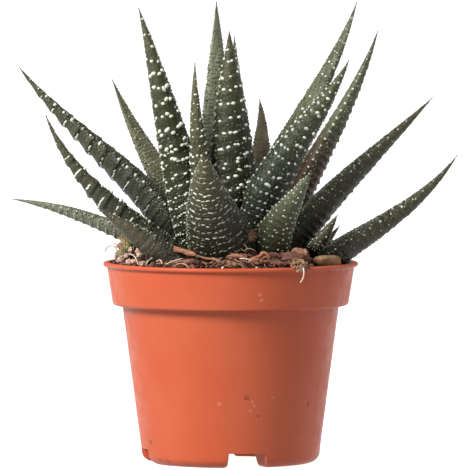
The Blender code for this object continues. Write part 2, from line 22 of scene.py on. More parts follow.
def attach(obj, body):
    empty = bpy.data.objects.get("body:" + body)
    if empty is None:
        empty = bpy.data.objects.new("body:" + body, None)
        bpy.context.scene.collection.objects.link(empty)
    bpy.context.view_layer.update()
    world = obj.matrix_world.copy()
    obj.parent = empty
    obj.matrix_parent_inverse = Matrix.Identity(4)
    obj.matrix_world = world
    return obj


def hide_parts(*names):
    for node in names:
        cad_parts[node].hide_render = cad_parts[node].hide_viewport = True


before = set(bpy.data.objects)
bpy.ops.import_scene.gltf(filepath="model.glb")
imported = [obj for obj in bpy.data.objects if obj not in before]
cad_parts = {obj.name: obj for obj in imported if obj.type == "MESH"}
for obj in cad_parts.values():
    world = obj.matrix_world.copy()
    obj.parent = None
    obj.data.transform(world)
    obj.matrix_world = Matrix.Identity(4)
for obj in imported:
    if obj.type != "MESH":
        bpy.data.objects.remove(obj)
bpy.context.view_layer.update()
LOG = logging.getLogger("haworthia")

MM = 0.001
BODY = "root"
Colour = tuple[float, float, float]
Point = tuple[float, float, float]
EVEN = (1.0, 1.0, 1.0)
FINE_GRAIN = 1300.0
FINE_DOME, COARSE_DOME = (8, 4), (6, 3)
STRAND_CUTS = 5
CRUMB_TONES = (-0.6, 0.8)
CRUMB_RIPPLE = 900.0


def unit(vectors: np.ndarray) -> np.ndarray:
    """Scales vectors to length 1 along their last axis."""
    return vectors / np.maximum(np.linalg.norm(vectors, axis=-1, keepdims=True), 1e-9)


def smooth_step(share: np.ndarray | float) -> np.ndarray:
    """A smooth rise from 0 to 1 as share goes from 0 to 1."""
    share = np.clip(share, 0.0, 1.0)
    return share * share * (3 - 2 * share)


def polar(radius: float, angle: float, height: float) -> Point:
    """A point at an angle about the pot's axis."""
    return (radius * math.cos(angle), radius * math.sin(angle), height)


def ring_faces(rings: int, columns: int) -> list[tuple[int, ...]]:
    """The quads between neighbouring rings of a grid that closes round its columns.

    Args:
        rings: how many rings of points the grid has.
        columns: how many points each ring has.

    Returns:
        The faces, as indices into the rings' points in order.
    """
    return [
        (
            ring * columns + column,
            ring * columns + (column + 1) % columns,
            (ring + 1) * columns + (column + 1) % columns,
            (ring + 1) * columns + column,
        )
        for ring in range(rings - 1)
        for column in range(columns)
    ]


def into_scene(name: str, data: bpy.types.ID) -> bpy.types.Object:
    """Makes an object of some data and puts it in the scene, at the origin."""
    made = bpy.data.objects.new(name, data)
    bpy.context.scene.collection.objects.link(made)
    return made


def new_mesh_object(name: str, points_mm: Iterable[Sequence[float]], edges: list,
                    faces: list) -> bpy.types.Object:
    """Makes an object from points in millimetres and puts it in the scene.

    Args:
        name: the object's name.
        points_mm: its points.
        edges: its loose edges, if any.
        faces: its faces.

    Returns:
        The new object, at the origin.
    """
    mesh = bpy.data.meshes.new(name)
    mesh.from_pydata([tuple(float(c) * MM for c in point) for point in points_mm], edges, faces)
    return into_scene(name, mesh)


def evaluated_mesh(piece: bpy.types.Object) -> bpy.types.Mesh:
    """A plain mesh of a piece as its modifiers leave it."""
    bpy.context.view_layer.update()
    return bpy.data.meshes.new_from_object(piece.evaluated_get(bpy.context.evaluated_depsgraph_get()))


def point_outwards(piece: bpy.types.Object) -> None:
    """Turns the faces of a closed mesh outwards."""
    work = bmesh.new()
    work.from_mesh(piece.data)
    bmesh.ops.recalc_face_normals(work, faces=work.faces)
    if work.calc_volume(signed=True) < 0:
        bmesh.ops.reverse_faces(work, faces=work.faces)
    work.to_mesh(piece.data)
    work.free()


def shade_smooth(piece: bpy.types.Object, sharp_degrees: float = 180.0) -> None:
    """Shades a piece smooth, but keeps edges that turn more than an angle sharp."""
    piece.data.shade_smooth()
    if sharp_degrees < 180.0:
        piece.data.set_sharp_from_angle(angle=math.radians(sharp_degrees))


def closed_tube(name: str, rings: np.ndarray, first: Point, last: Point) -> bpy.types.Object:
    """A smooth closed mesh from rings of points, with a point at each end.

    Args:
        name: the object's name.
        rings: the rings' points, by ring and by column.
        first: the point that closes the first ring.
        last: the point that closes the last ring.

    Returns:
        The new object, with its faces outwards.
    """
    count, columns = len(rings), len(rings[0])
    points = [tuple(point) for ring in rings for point in ring] + [tuple(first), tuple(last)]
    faces = ring_faces(count, columns)
    end = (count - 1) * columns
    for column in range(columns):
        after = (column + 1) % columns
        faces.append((after, column, len(points) - 2))
        faces.append((end + column, end + after, len(points) - 1))
    made = new_mesh_object(name, points, [], faces)
    point_outwards(made)
    shade_smooth(made)
    return made


def between(grid: np.ndarray, corner: tuple, down: np.ndarray, right: np.ndarray) -> np.ndarray:
    """Blends neighbouring values of a grid that closes round its columns.

    Args:
        grid: the values, by row and column.
        corner: the row and the column of the first neighbour of each blend.
        down: the share of the way to the next row.
        right: the share of the way to the next column.

    Returns:
        The blended values.
    """
    row, column = corner
    column, after = column % grid.shape[1], (column + 1) % grid.shape[1]
    upper = grid[row, column] * (1 - right) + grid[row, after] * right
    lower = grid[row + 1, column] * (1 - right) + grid[row + 1, after] * right
    return upper * (1 - down) + lower * down


def drop_empty_slots(mesh: bpy.types.Mesh) -> None:
    """Takes away the empty material slots that primitives bring into a mesh."""
    kept = [index for index, material in enumerate(mesh.materials) if material is not None]
    finishes = [mesh.materials[index] for index in kept]
    lookup = np.zeros(len(mesh.materials), np.int32)
    lookup[kept] = np.arange(len(kept))
    indices = np.zeros(len(mesh.polygons), np.int32)
    mesh.polygons.foreach_get("material_index", indices)
    mesh.materials.clear()
    for finish in finishes:
        mesh.materials.append(finish)
    mesh.polygons.foreach_set("material_index", lookup[indices])


def set_point_values(piece: bpy.types.Object, name: str, values: np.ndarray) -> None:
    """Stores one number or one vector for each point of a mesh, for its material or its node tree to read."""
    kind = "FLOAT_VECTOR" if values.ndim == 2 else "FLOAT"
    layer = piece.data.attributes.new(name, kind, "POINT")
    layer.data.foreach_set("vector" if values.ndim == 2 else "value", values.astype(np.float32).ravel())


def settle(piece: bpy.types.Object, slot: str, *nodes: str) -> None:
    """Ties a finished piece to the frame and reports it.

    Args:
        piece: the piece, at the origin, with no modifiers.
        slot: not used.
        nodes: the CAD nodes that it stands for.
    """
    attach(piece, BODY)
    if nodes:
        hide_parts(*nodes)
    LOG.info("%s: %d faces", piece.name, len(piece.data.polygons))


class NodeTree:
    """A node tree that is built in the script."""

    def __init__(self, tree: bpy.types.NodeTree) -> None:
        """Starts from a tree of Blender's."""
        self.tree = tree

    def node(self, kind: str, **settings: object) -> bpy.types.Node:
        """Adds a node and gives it its settings."""
        made = self.tree.nodes.new(kind)
        for name, value in settings.items():
            setattr(made, name, value)
        return made

    def feed(self, target: bpy.types.NodeSocket, value: object) -> None:
        """Links a socket to another, or sets it where a plain value is given."""
        if isinstance(value, bpy.types.NodeSocket):
            self.tree.links.new(value, target)
        else:
            target.default_value = value

    def run(self, kind: str, output: str, settings: dict | None = None,
            **inputs: object) -> bpy.types.NodeSocket:
        """Adds a node and feeds its inputs.

        Args:
            kind: the node's kind.
            output: the name of the output that is wanted.
            settings: the node's settings, if any.
            inputs: its inputs by name, with _ for a space.

        Returns:
            The output.
        """
        made = self.node(kind, **(settings or {}))
        for name, value in inputs.items():
            self.feed(made.inputs[name.replace("_", " ")], value)
        return made.outputs[output]

    def math(self, operation: str, *values: object, kind: str = "ShaderNodeMath") -> bpy.types.NodeSocket:
        """Arithmetic on values, sockets or fields."""
        made = self.node(kind, operation=operation)
        for socket, value in zip(made.inputs, values):
            self.feed(socket, value)
        return made.outputs[0]

    def plus(self, first: object, second: object) -> bpy.types.NodeSocket:
        """The sum of two values."""
        return self.math("ADD", first, second)

    def minus(self, first: object, second: object) -> bpy.types.NodeSocket:
        """The difference of two values."""
        return self.math("SUBTRACT", first, second)

    def times(self, first: object, second: object) -> bpy.types.NodeSocket:
        """The product of two values."""
        return self.math("MULTIPLY", first, second)


class Shader(NodeTree):
    """The node tree of one material, whose colour is laid coat on coat."""

    def __init__(self, name: str) -> None:
        """Starts a material that has only its Principled surface."""
        self.material = bpy.data.materials.new(name)
        self.material.use_nodes = True
        super().__init__(self.material.node_tree)
        self.surface = self.tree.nodes["Principled BSDF"]
        self.surface.inputs["Metallic"].default_value = 0.0
        self.place = self.run("ShaderNodeTexCoord", "Object")
        self.colour: object = (0.0, 0.0, 0.0)

    def attribute(self, name: str) -> bpy.types.NodeSocket:
        """The number that the mesh stores at each point under a name."""
        return self.run("ShaderNodeAttribute", "Fac", {"attribute_name": name})

    def noise(self, scale: float, detail: float = 3.0, stretch: Point = EVEN) -> bpy.types.NodeSocket:
        """Fractal noise from 0 to 1.

        Args:
            scale: features for each metre.
            detail: how many finer layers it has.
            stretch: a scale for each axis, for grain that runs one way.

        Returns:
            The noise's value.
        """
        place = self.place
        if stretch != EVEN:
            place = self.run("ShaderNodeMapping", "Vector", Vector=self.place, Scale=stretch)
        return self.run("ShaderNodeTexNoise", "Fac", Vector=place, Scale=scale, Detail=detail)

    def cells(self, scale: float) -> bpy.types.NodeSocket:
        """The distance to the nearest point of a scatter, with so many points for each metre."""
        return self.run("ShaderNodeTexVoronoi", "Distance", Vector=self.place, Scale=scale)

    def remap(self, value: object, low: float, high: float, to_low: float = 0.0, to_high: float = 1.0):
        """Carries a value from one range to another, smoothly and without running past its ends."""
        smooth = {"interpolation_type": "SMOOTHSTEP"}
        ends = {"From_Min": low, "From_Max": high, "To_Min": to_low, "To_Max": to_high}
        return self.run("ShaderNodeMapRange", "Result", smooth, Value=value, **ends)

    def mix(self, share: object, first: object, second: object) -> bpy.types.NodeSocket:
        """Mixes two colours.

        Args:
            share: how much of the second one, from 0 to 1.
            first: a colour, or a socket that gives one.
            second: the other colour.

        Returns:
            The mixed colour.
        """
        made = self.node("ShaderNodeMix", data_type="RGBA", blend_type="MIX")
        self.feed(made.inputs[0], share)
        for socket, colour in ((made.inputs[6], first), (made.inputs[7], second)):
            self.feed(socket, colour if isinstance(colour, bpy.types.NodeSocket) else (*colour, 1.0))
        return made.outputs[2]

    def coat(self, share: object, colour: object) -> None:
        """Lays a share of another colour over the surface's own."""
        self.colour = self.mix(share, self.colour, colour)

    def bump(self, height: object, depth_mm: float, strength: float = 1.0) -> None:
        """Roughens the surface with small relief of about a depth."""
        relief = {"Strength": strength, "Distance": depth_mm * MM, "Height": height}
        self.feed(self.surface.inputs["Normal"], self.run("ShaderNodeBump", "Normal", **relief))

    def finish(self, roughness: object, specular: float) -> bpy.types.Material:
        """Links the colour and the roughness and gives the finished material."""
        for name, value in (("Base Color", self.colour), ("Roughness", roughness),
                            ("Specular IOR Level", specular)):
            self.feed(self.surface.inputs[name], value)
        return self.material


@dataclass(frozen=True)
class LeafSkin:
    """A leaf's skin: deep green mottled with a paler one, a plain inner face, a tinted keel, a dry tip, with
    painted shade in the band troughs, between the tubercles and towards the root, and a painted highlight on
    the band crests.
    """

    name: str
    deep: Colour = (0.013, 0.0165, 0.005)
    pale: Colour = (0.07, 0.076, 0.03)
    cool: Colour = (0.03, 0.04, 0.024)
    upper: Colour = (0.088, 0.086, 0.044)
    # Painted shade: how far the troughs between the bands are darkened towards deep.
    trough_shade: float = 0.4
    inner: Colour = (0.07, 0.078, 0.036)
    keel: Colour = (0.02, 0.022, 0.009)
    # On most skins base is painted shade near the root: the dark colour that the leaf's lower part is mixed
    # towards. On the stained skin it is a real reddish stain. On the blotched skin it is a paler grey-brown
    # whose pale patches also stand in for a wet sheen (painted sheen).
    base: Colour = (0.006, 0.0064, 0.003)
    base_start: float = 0.08
    base_reach: float = 0.3
    crumple: float = 0.0
    tip: Colour = (0.06, 0.042, 0.028)
    tip_start: float = 0.93
    roughness: float = 0.44

    def material(self) -> bpy.types.Material:
        """Builds the skin's material, which reads the leaf's share, inner, under and crest values."""
        shader = Shader(self.name)
        share = shader.attribute("share")
        broad = shader.noise(170.0, 2.0)
        fine = shader.noise(FINE_GRAIN, 4.0)
        mottle = shader.plus(shader.times(broad, 0.6), shader.times(fine, 0.4))
        shader.colour = shader.mix(shader.remap(mottle, 0.36, 0.66), self.deep, self.pale)
        shader.coat(shader.remap(shader.noise(75.0, 1.0), 0.45, 0.62, 0.0, 0.7), self.cool)
        under = shader.times(shader.attribute("under"), shader.remap(broad, 0.3, 0.6, 0.35, 0.9))
        shader.coat(under, self.keel)
        # Painted shade in the troughs between the bands, and a painted highlight on their crests.
        crest = shader.attribute("crest")
        shader.coat(shader.remap(crest, 0.0, 0.45, self.trough_shade, 0.0), self.deep)
        shader.coat(shader.times(crest, 0.35), self.pale)
        shader.coat(shader.remap(share, 0.34, 1.0, 0.0, 0.85), self.upper)
        veins = shader.noise(420.0, 3.0, (1.0, 1.0, 0.18))
        plain = shader.mix(shader.remap(veins, 0.35, 0.7), self.inner, tuple(c * 0.5 for c in self.inner))
        shader.coat(shader.attribute("inner"), plain)
        # Painted shade towards the root, with a ragged edge. On the stained skin this is a real stain, and on
        # the blotched one a paler base with painted sheen.
        worn = shader.plus(share, shader.times(broad, 0.16))
        rooted = shader.remap(worn, self.base_start, self.base_start + self.base_reach, 0.92, 0.0)
        root_shade_and_stain = shader.mix(shader.remap(fine, 0.35, 0.65), self.base, tuple(c * 0.45 for c in self.base))
        shader.coat(rooted, root_shade_and_stain)
        dried = shader.plus(share, shader.times(fine, 0.03))
        shader.coat(shader.remap(dried, self.tip_start, 0.99), self.tip)
        # Painted shade between the tubercles: darker towards deep where the cell distance is large. The same
        # cells shape the bump.
        tubercle_gaps = shader.cells(1150.0)
        shader.coat(shader.remap(tubercle_gaps, 0.25, 0.75, 0.0, 0.5), self.deep)
        relief = shader.minus(shader.times(shader.noise(520.0, 2.0), 1.6), tubercle_gaps)
        folds = shader.times(shader.times(rooted, shader.noise(300.0, 3.0)), self.crumple)
        shader.bump(shader.plus(shader.plus(relief, fine), folds), 0.2, 0.8)
        return shader.finish(shader.remap(fine, 0.3, 0.7, self.roughness - 0.07, self.roughness + 0.1), 0.2)


@dataclass(frozen=True)
class WartFinish:
    """The chalky white of a wart, greener where its tone is low."""

    name: str
    white: Colour = (0.72, 0.74, 0.62)
    green: Colour = (0.052, 0.058, 0.026)
    roughness: float = 0.55

    def material(self) -> bpy.types.Material:
        """Builds the warts' material, which reads each wart's tone."""
        shader = Shader(self.name)
        grain = shader.noise(2400.0, 2.0)
        tone = shader.minus(shader.attribute("tone"), shader.times(grain, 0.16))
        shader.colour = shader.mix(tone, self.green, self.white)
        shader.bump(grain, 0.06, 0.5)
        return shader.finish(self.roughness, 0.4)


@dataclass(frozen=True)
class PotPlastic:
    """Thin moulded clay-coloured plastic with a satin skin, flow marks, handling scuffs and a little dust."""

    name: str
    clay: Colour = (0.495, 0.084, 0.03)
    worn: Colour = (0.52, 0.1, 0.04)
    scuff: Colour = (0.62, 0.26, 0.16)
    dirt: Colour = (0.12, 0.035, 0.022)
    roughness: float = 0.42
    scuffs: tuple[tuple[Point, float], ...] = ()
    stains: tuple[tuple[Point, float], ...] = ()

    def spot(self, shader: Shader, centre: Point, radius: float) -> bpy.types.NodeSocket:
        """A soft-edged ragged spot about a place on the wall."""
        away = shader.node("ShaderNodeVectorMath", operation="DISTANCE")
        shader.feed(away.inputs[0], shader.place)
        away.inputs[1].default_value = [c * MM for c in centre]
        ragged = shader.times(shader.noise(FINE_GRAIN, 4.0), radius * MM * 1.4)
        reach = shader.plus(away.outputs["Value"], ragged)
        return shader.remap(reach, radius * MM * 1.15, radius * MM * 1.5, 1.0, 0.0)

    def material(self) -> bpy.types.Material:
        """Builds the plastic's material."""
        shader = Shader(self.name)
        cloud = shader.noise(38.0, 3.0)
        flow = shader.noise(120.0, 4.0, (1.0, 1.0, 0.25))
        shader.colour = shader.mix(shader.remap(cloud, 0.35, 0.7), self.clay, self.worn)
        shader.coat(shader.remap(flow, 0.62, 0.8, 0.0, 0.35), self.worn)
        dust = shader.remap(shader.cells(210.0), 0.05, 0.09, 0.35, 0.0)
        rare = shader.remap(shader.noise(55.0, 1.0), 0.56, 0.66)
        shader.coat(shader.times(dust, rare), self.scuff)
        for spots, share, look in ((self.scuffs, 0.45, self.scuff), (self.stains, 0.62, self.dirt)):
            for centre, radius in spots:
                shader.coat(shader.times(self.spot(shader, centre, radius), share), look)
        relief = shader.plus(shader.noise(900.0, 3.0), shader.times(flow, 1.5))
        shader.bump(relief, 0.02, 0.35)
        rough = shader.remap(shader.noise(260.0, 4.0), 0.3, 0.7, self.roughness - 0.05, self.roughness + 0.1)
        return shader.finish(rough, 0.22)


@dataclass(frozen=True)
class Sprout:
    """Young shoots whose colour goes from red-brown through yellow to green with their tone."""

    name: str
    slot: str
    red: Colour = (0.34, 0.17, 0.09)
    yellow: Colour = (0.5, 0.4, 0.2)
    green: Colour = (0.07, 0.145, 0.03)

    @functools.cache
    def material(self) -> bpy.types.Material:
        """Builds the shoots' material, once."""
        shader = Shader(self.name)
        tone = shader.plus(shader.attribute("tone"), shader.times(shader.noise(500.0), 0.3))
        shader.colour = shader.mix(shader.remap(tone, 0.3, 0.55), self.red, self.yellow)
        shader.coat(shader.remap(tone, 0.55, 0.85), self.green)
        return shader.finish(0.5, 0.3)


@dataclass(frozen=True)
class Earthy:
    """Peat, bark, husk, roots and pebbles: a dark and a light colour mixed by grain and by tone."""

    name: str
    slot: str
    dark: Colour
    light: Colour
    grain: float = 500.0
    stretch: Point = EVEN
    relief: float = 0.25
    roughness: float = 0.85

    @functools.cache
    def material(self) -> bpy.types.Material:
        """Builds the material, once. It reads the piece's tone where it has one."""
        shader = Shader(self.name)
        grain = shader.noise(self.grain, 5.0, self.stretch)
        share = shader.plus(shader.remap(grain, 0.32, 0.7), shader.attribute("tone"))
        shader.colour = shader.mix(shader.times(share, 0.5), self.dark, self.light)
        shader.bump(grain, self.relief, 0.9)
        return shader.finish(self.roughness, 0.3)


PEAT = Earthy("soil_peat", "soil_peat", (0.007, 0.003, 0.003), (0.085, 0.036, 0.026), grain=900.0,
              relief=0.6, roughness=0.95)
BARK = Earthy("bark_brown", "bark", (0.03, 0.011, 0.008), (0.36, 0.165, 0.11), grain=520.0,
              stretch=(0.5, 1.6, 1.6), relief=0.5)
HUSK_BARK = Earthy("bark_tan", "bark", (0.12, 0.045, 0.028), (0.6, 0.32, 0.2), grain=500.0, relief=0.5)
HUSK = Earthy("husk_tan", "husk", (0.11, 0.034, 0.018), (0.62, 0.28, 0.16), grain=420.0,
              stretch=(0.35, 2.2, 2.2), roughness=0.6)
HUSK_PALE = Earthy("husk_pale", "husk", (0.035, 0.016, 0.006), (0.74, 0.45, 0.22), grain=150.0,
                   stretch=(1.6, 0.5, 1.6))
TWIG = Earthy("twig_bark", "twig_bark", (0.09, 0.028, 0.016), (0.58, 0.26, 0.15), grain=900.0,
              stretch=(0.6, 1.4, 1.4), relief=0.4)
STRIP = Earthy("bark_strip", "twig_bark", (0.03, 0.01, 0.007), (0.5, 0.235, 0.125), grain=700.0, relief=0.4,
               roughness=0.7)
PEBBLE = Earthy("pebble_pink", "pebble", (0.3, 0.155, 0.115), (0.82, 0.6, 0.48), grain=900.0, relief=0.45)
ROOT_TAN = Earthy("root_tan", "root_tan", (0.1, 0.04, 0.022), (0.58, 0.35, 0.21), grain=900.0, relief=0.2)
ROOT_PALE = Earthy("root_pale", "root_cream", (0.36, 0.22, 0.14), (0.86, 0.78, 0.68), grain=900.0,
                   relief=0.1, roughness=0.6)
FIBRE = Earthy("fibre", "root_tan", (0.05, 0.018, 0.012), (0.6, 0.33, 0.21), grain=500.0, relief=0.1,
               roughness=0.7)
MOSS = Earthy("moss_mound", "moss", (0.05, 0.042, 0.01), (0.46, 0.36, 0.2), grain=1000.0, relief=0.8)
MOSS_RED = Earthy("bud_red", "moss", (0.036, 0.018, 0.01), (0.36, 0.22, 0.14), grain=1400.0, relief=0.4)
SPROUT = Sprout("moss_shoots", "moss")


@dataclass(frozen=True)
class FloorPaper:
    """Plain pale paper, lit from behind as on a light table so that it stays white."""

    name: str
    white: Colour = (0.42, 0.42, 0.42)
    glow: float = 0.97

    def material(self) -> bpy.types.Material:
        """Builds the floor's material."""
        shader = Shader(self.name)
        tooth = shader.noise(60.0, 4.0)
        shader.colour = shader.mix(tooth, self.white, tuple(c * 0.985 for c in self.white))
        shader.surface.inputs["Emission Color"].default_value = (1.0, 1.0, 1.0, 1.0)
        shader.surface.inputs["Emission Strength"].default_value = self.glow
        return shader.finish(0.8, 0.2)


class GeometryTree(NodeTree):
    """A Geometry Nodes tree with named inputs and one geometry output."""

    def __init__(self, name: str) -> None:
        """Starts a tree that takes and gives geometry."""
        super().__init__(bpy.data.node_groups.new(name, "GeometryNodeTree"))
        for way in ("INPUT", "OUTPUT"):
            self.tree.interface.new_socket("Geometry", in_out=way, socket_type="NodeSocketGeometry")
        self.inputs: dict[str, str] = {}
        self.entry = self.node("NodeGroupInput")
        self.given = self.entry.outputs["Geometry"]
        self.exit = self.node("NodeGroupOutput")

    def add_inputs(self, **kinds: str) -> list[bpy.types.NodeSocket]:
        """Adds named inputs to the tree.

        Args:
            kinds: the kind of each input, such as Float, Int, Object or Material, by its name.

        Returns:
            The sockets inside the tree that give them, in order.
        """
        for name, kind in kinds.items():
            made = self.tree.interface.new_socket(name, in_out="INPUT", socket_type=f"NodeSocket{kind}")
            self.inputs[name] = made.identifier
        return [self.entry.outputs[name] for name in kinds]

    def named(self, name: str, kind: str = "FLOAT") -> bpy.types.NodeSocket:
        """A value that the geometry stores under a name."""
        return self.run("GeometryNodeInputNamedAttribute", "Attribute", {"data_type": kind}, Name=name)

    def store(self, geometry: object, name: str, value: object) -> bpy.types.NodeSocket:
        """Stores a number on each point of a geometry under a name."""
        settings = {"data_type": "FLOAT", "domain": "POINT"}
        inputs = {"Geometry": geometry, "Name": name, "Value": value}
        return self.run("GeometryNodeStoreNamedAttribute", "Geometry", settings, **inputs)

    def spread(self, low: object, high: object, seed: object, kind: str = "FLOAT") -> bpy.types.NodeSocket:
        """A random value for each point, from a fixed seed."""
        made = self.node("FunctionNodeRandomValue", data_type=kind)
        first, output = {"FLOAT": (2, 1), "FLOAT_VECTOR": (0, 0)}[kind]
        for socket, value in ((first, low), (first + 1, high), ("Seed", seed)):
            self.feed(made.inputs[socket], value)
        return made.outputs[output]

    def finish(self, geometry: object, material: object) -> bpy.types.NodeSocket:
        """Realizes instances and sets the material, which is how each branch of a tree ends."""
        real = self.run("GeometryNodeRealizeInstances", "Geometry", Geometry=geometry)
        smooth = self.run("GeometryNodeSetShadeSmooth", "Geometry", Geometry=real)
        return self.run("GeometryNodeSetMaterial", "Geometry", Geometry=smooth, Material=material)

    def give(self, geometry: object) -> "GeometryTree":
        """Links the tree's output and gives the whole tree."""
        self.feed(self.exit.inputs["Geometry"], geometry)
        return self

    def apply(self, carrier: bpy.types.Object, name: str, **values: object) -> bpy.types.Object:
        """Runs the tree on an object and turns the result into a plain mesh object.

        Args:
            carrier: the object whose geometry the tree takes. It is removed.
            name: the new object's name.
            values: the tree's inputs by name.

        Returns:
            The plain mesh object, with no modifier.
        """
        modifier = carrier.modifiers.new(self.tree.name, "NODES")
        modifier.node_group = self.tree
        for key, value in values.items():
            modifier[self.inputs[key]] = value
        carrier.update_tag()
        mesh = evaluated_mesh(carrier)
        bpy.data.objects.remove(carrier)
        drop_empty_slots(mesh)
        mesh.name = name
        return into_scene(name, mesh)


def wart_tree() -> GeometryTree:
    """The tree that raises a low dome at each seed point of a leaf and joins the domes to the leaf.

    Returns:
        A tree whose geometry is the leaf, with inputs Seeds and Material. Seeds whose grain is 1 get
        coarser domes.
    """
    tree = GeometryTree("leaf_warts")
    seeds, material = tree.add_inputs(Seeds="Object", Material="Material")
    points = tree.run("GeometryNodeObjectInfo", "Geometry", Object=seeds)
    facing, sideways, size = (tree.named(name, "FLOAT_VECTOR") for name in ("facing", "sideways", "size"))
    upright = tree.run("FunctionNodeAlignRotationToVector", "Rotation", {"axis": "Z"}, Vector=facing)
    about = {"axis": "X", "pivot_axis": "Z"}
    turned = tree.run("FunctionNodeAlignRotationToVector", "Rotation", about, Rotation=upright,
                      Vector=sideways)
    joined = tree.node("GeometryNodeJoinGeometry")
    grain = tree.named("grain")
    for chosen, (segments, rings) in ((tree.minus(1.0, grain), FINE_DOME), (grain, COARSE_DOME)):
        ball = tree.run("GeometryNodeMeshUVSphere", "Mesh", Segments=segments, Rings=rings, Radius=1.0)
        stood = {"Points": points, "Selection": chosen, "Instance": ball, "Rotation": turned, "Scale": size}
        raised = tree.run("GeometryNodeInstanceOnPoints", "Instances", **stood)
        tree.feed(joined.inputs["Geometry"], tree.finish(raised, material))
    tree.feed(joined.inputs["Geometry"], tree.given)
    return tree.give(joined.outputs["Geometry"])


def crumb_tree() -> GeometryTree:
    """The tree that strews rough crumbs over a surface.

    Returns:
        A tree whose geometry is the surface, with inputs Density, Seed, Smallest, Largest, Roughen, Detail
        and Material.
    """
    tree = GeometryTree("strewn_crumbs")
    density, seed, detail = tree.add_inputs(Density="Float", Seed="Int", Detail="Int")
    smallest, largest, roughen = tree.add_inputs(Smallest="Vector", Largest="Vector", Roughen="Float")
    material, = tree.add_inputs(Material="Material")
    strewn = {"Mesh": tree.given, "Density": density, "Seed": seed}
    points = tree.run("GeometryNodeDistributePointsOnFaces", "Points", **strewn)
    toned = tree.store(points, "tone", tree.spread(*CRUMB_TONES, seed))
    ball = tree.run("GeometryNodeMeshIcoSphere", "Mesh", Radius=1.0, Subdivisions=detail)
    turn = tree.spread((0.0, 0.0, 0.0), (1.0, 1.0, 6.28), seed, "FLOAT_VECTOR")
    size = tree.spread(smallest, largest, tree.plus(seed, 7), "FLOAT_VECTOR")
    stood = {"Points": toned, "Instance": ball, "Rotation": turn, "Scale": size}
    crumbs = tree.run("GeometryNodeInstanceOnPoints", "Instances", **stood)
    real = tree.run("GeometryNodeRealizeInstances", "Geometry", Geometry=crumbs)
    ripple = tree.run("ShaderNodeTexNoise", "Color", Scale=CRUMB_RIPPLE, Detail=3.0)
    centred = tree.math("SUBTRACT", ripple, (0.5, 0.5, 0.5), kind="ShaderNodeVectorMath")
    push = tree.run("ShaderNodeVectorMath", "Vector", {"operation": "SCALE"}, Vector=centred, Scale=roughen)
    moved = tree.run("GeometryNodeSetPosition", "Geometry", Geometry=real, Offset=push)
    return tree.give(tree.finish(moved, material))


def strand_tree() -> GeometryTree:
    """The tree that turns lines into roots: smooth tubes as thick as the line says at each point.

    Returns:
        A tree whose geometry is the lines, with inputs Sides and Material.
    """
    tree = GeometryTree("root_strands")
    sides, material = tree.add_inputs(Sides="Int", Material="Material")
    line = tree.run("GeometryNodeMeshToCurve", "Curve", Mesh=tree.given)
    bent = tree.run("GeometryNodeCurveSplineType", "Curve", {"spline_type": "CATMULL_ROM"}, Curve=line)
    fine = tree.run("GeometryNodeSetSplineResolution", "Geometry", Geometry=bent, Resolution=STRAND_CUTS)
    profile = tree.run("GeometryNodeCurvePrimitiveCircle", "Curve", Resolution=sides, Radius=1.0)
    swept = {"Curve": fine, "Scale": tree.named("thick"), "Profile_Curve": profile, "Fill_Caps": True}
    return tree.give(tree.finish(tree.run("GeometryNodeCurveToMesh", "Mesh", **swept), material))


def lathe_tree() -> GeometryTree:
    """The tree that turns the pot's closed outline round its axis and lifts its foot over the notches.

    Returns:
        A tree whose geometry is the outline's loop, with inputs Columns, Count and Turn of the notches,
        their Half angle, the Foot's radius, the Corner's radius and Material.
    """
    tree = GeometryTree("pot_lathe")
    columns, count, turn, half = tree.add_inputs(Columns="Int", Count="Float", Turn="Float", Half="Float")
    foot, corner, material = tree.add_inputs(Foot="Float", Corner="Float", Material="Material")
    outline = tree.run("GeometryNodeMeshToCurve", "Curve", Mesh=tree.given)
    rail = tree.run("GeometryNodeCurvePrimitiveCircle", "Curve", Resolution=columns)
    index = tree.run("GeometryNodeInputIndex", "Index")
    marked = tree.store(rail, "angle", tree.math("DIVIDE", tree.times(index, 2 * math.pi), columns))
    swept = tree.run("GeometryNodeCurveToMesh", "Mesh", Curve=marked, Profile_Curve=outline)
    around, least, radius = (tree.named(name) for name in ("angle", "least", "turned_radius"))
    reach = tree.math("DIVIDE", math.pi, count)
    away = tree.math("ABSOLUTE", tree.math("WRAP", tree.minus(around, turn), reach, tree.times(reach, -1.0)))
    beyond = tree.times(tree.minus(away, half), foot)
    inward = tree.minus(corner, tree.math("MINIMUM", tree.math("MAXIMUM", beyond, 0.0), corner))
    drop = tree.math("SQRT", tree.minus(tree.times(corner, corner), tree.times(inward, inward)))
    rounded = tree.math("MINIMUM", tree.minus(corner, drop), least)
    lift = tree.math("MAXIMUM", tree.times(least, tree.math("LESS_THAN", beyond, 0.00001)), rounded)
    place = {"X": tree.times(radius, tree.math("COSINE", around)),
             "Y": tree.times(radius, tree.math("SINE", around)),
             "Z": tree.math("MAXIMUM", tree.named("turned_height"), lift)}
    spot = tree.run("ShaderNodeCombineXYZ", "Vector", **place)
    moved = tree.run("GeometryNodeSetPosition", "Geometry", Geometry=swept, Position=spot)
    return tree.give(tree.finish(moved, material))


@dataclass(frozen=True)
class WartLayer:
    """One kind of wart on part of a leaf's surface, in millimetres and degrees.

    turns is the part of the section that it keeps to: 0 and 180 are the leaf's edges, 90 the middle of its
    inner face and -90 its keel. pitch is the distance from band to band and spacing that from wart to wart
    in a band. size is half a wart's length across the leaf, half its width along it and its height. missing
    is the share left out, wander how far each strays and tone its whiteness. reach is the part of the
    leaf's length that it covers.
    """

    turns: tuple[float, float]
    pitch: float
    spacing: float
    size: Point
    missing: float = 0.12
    wander: float = 0.2
    tilt: float = 12.0
    tone: float = 0.95
    spread: float = 0.1
    reach: tuple[float, float] = (0.06, 0.975)
    both_edges: bool = False


def edge_row(pitch: float, radius: float, tone: float, turn: float = 0.0, missing: float = 0.06) -> WartLayer:
    """A row of round warts along both edges of a leaf."""
    size = (radius * 1.1, radius, radius * 0.9)
    return WartLayer((turn - 4, turn + 4), pitch, 9.0, size, missing, 0.1, 15.0, tone, both_edges=True)


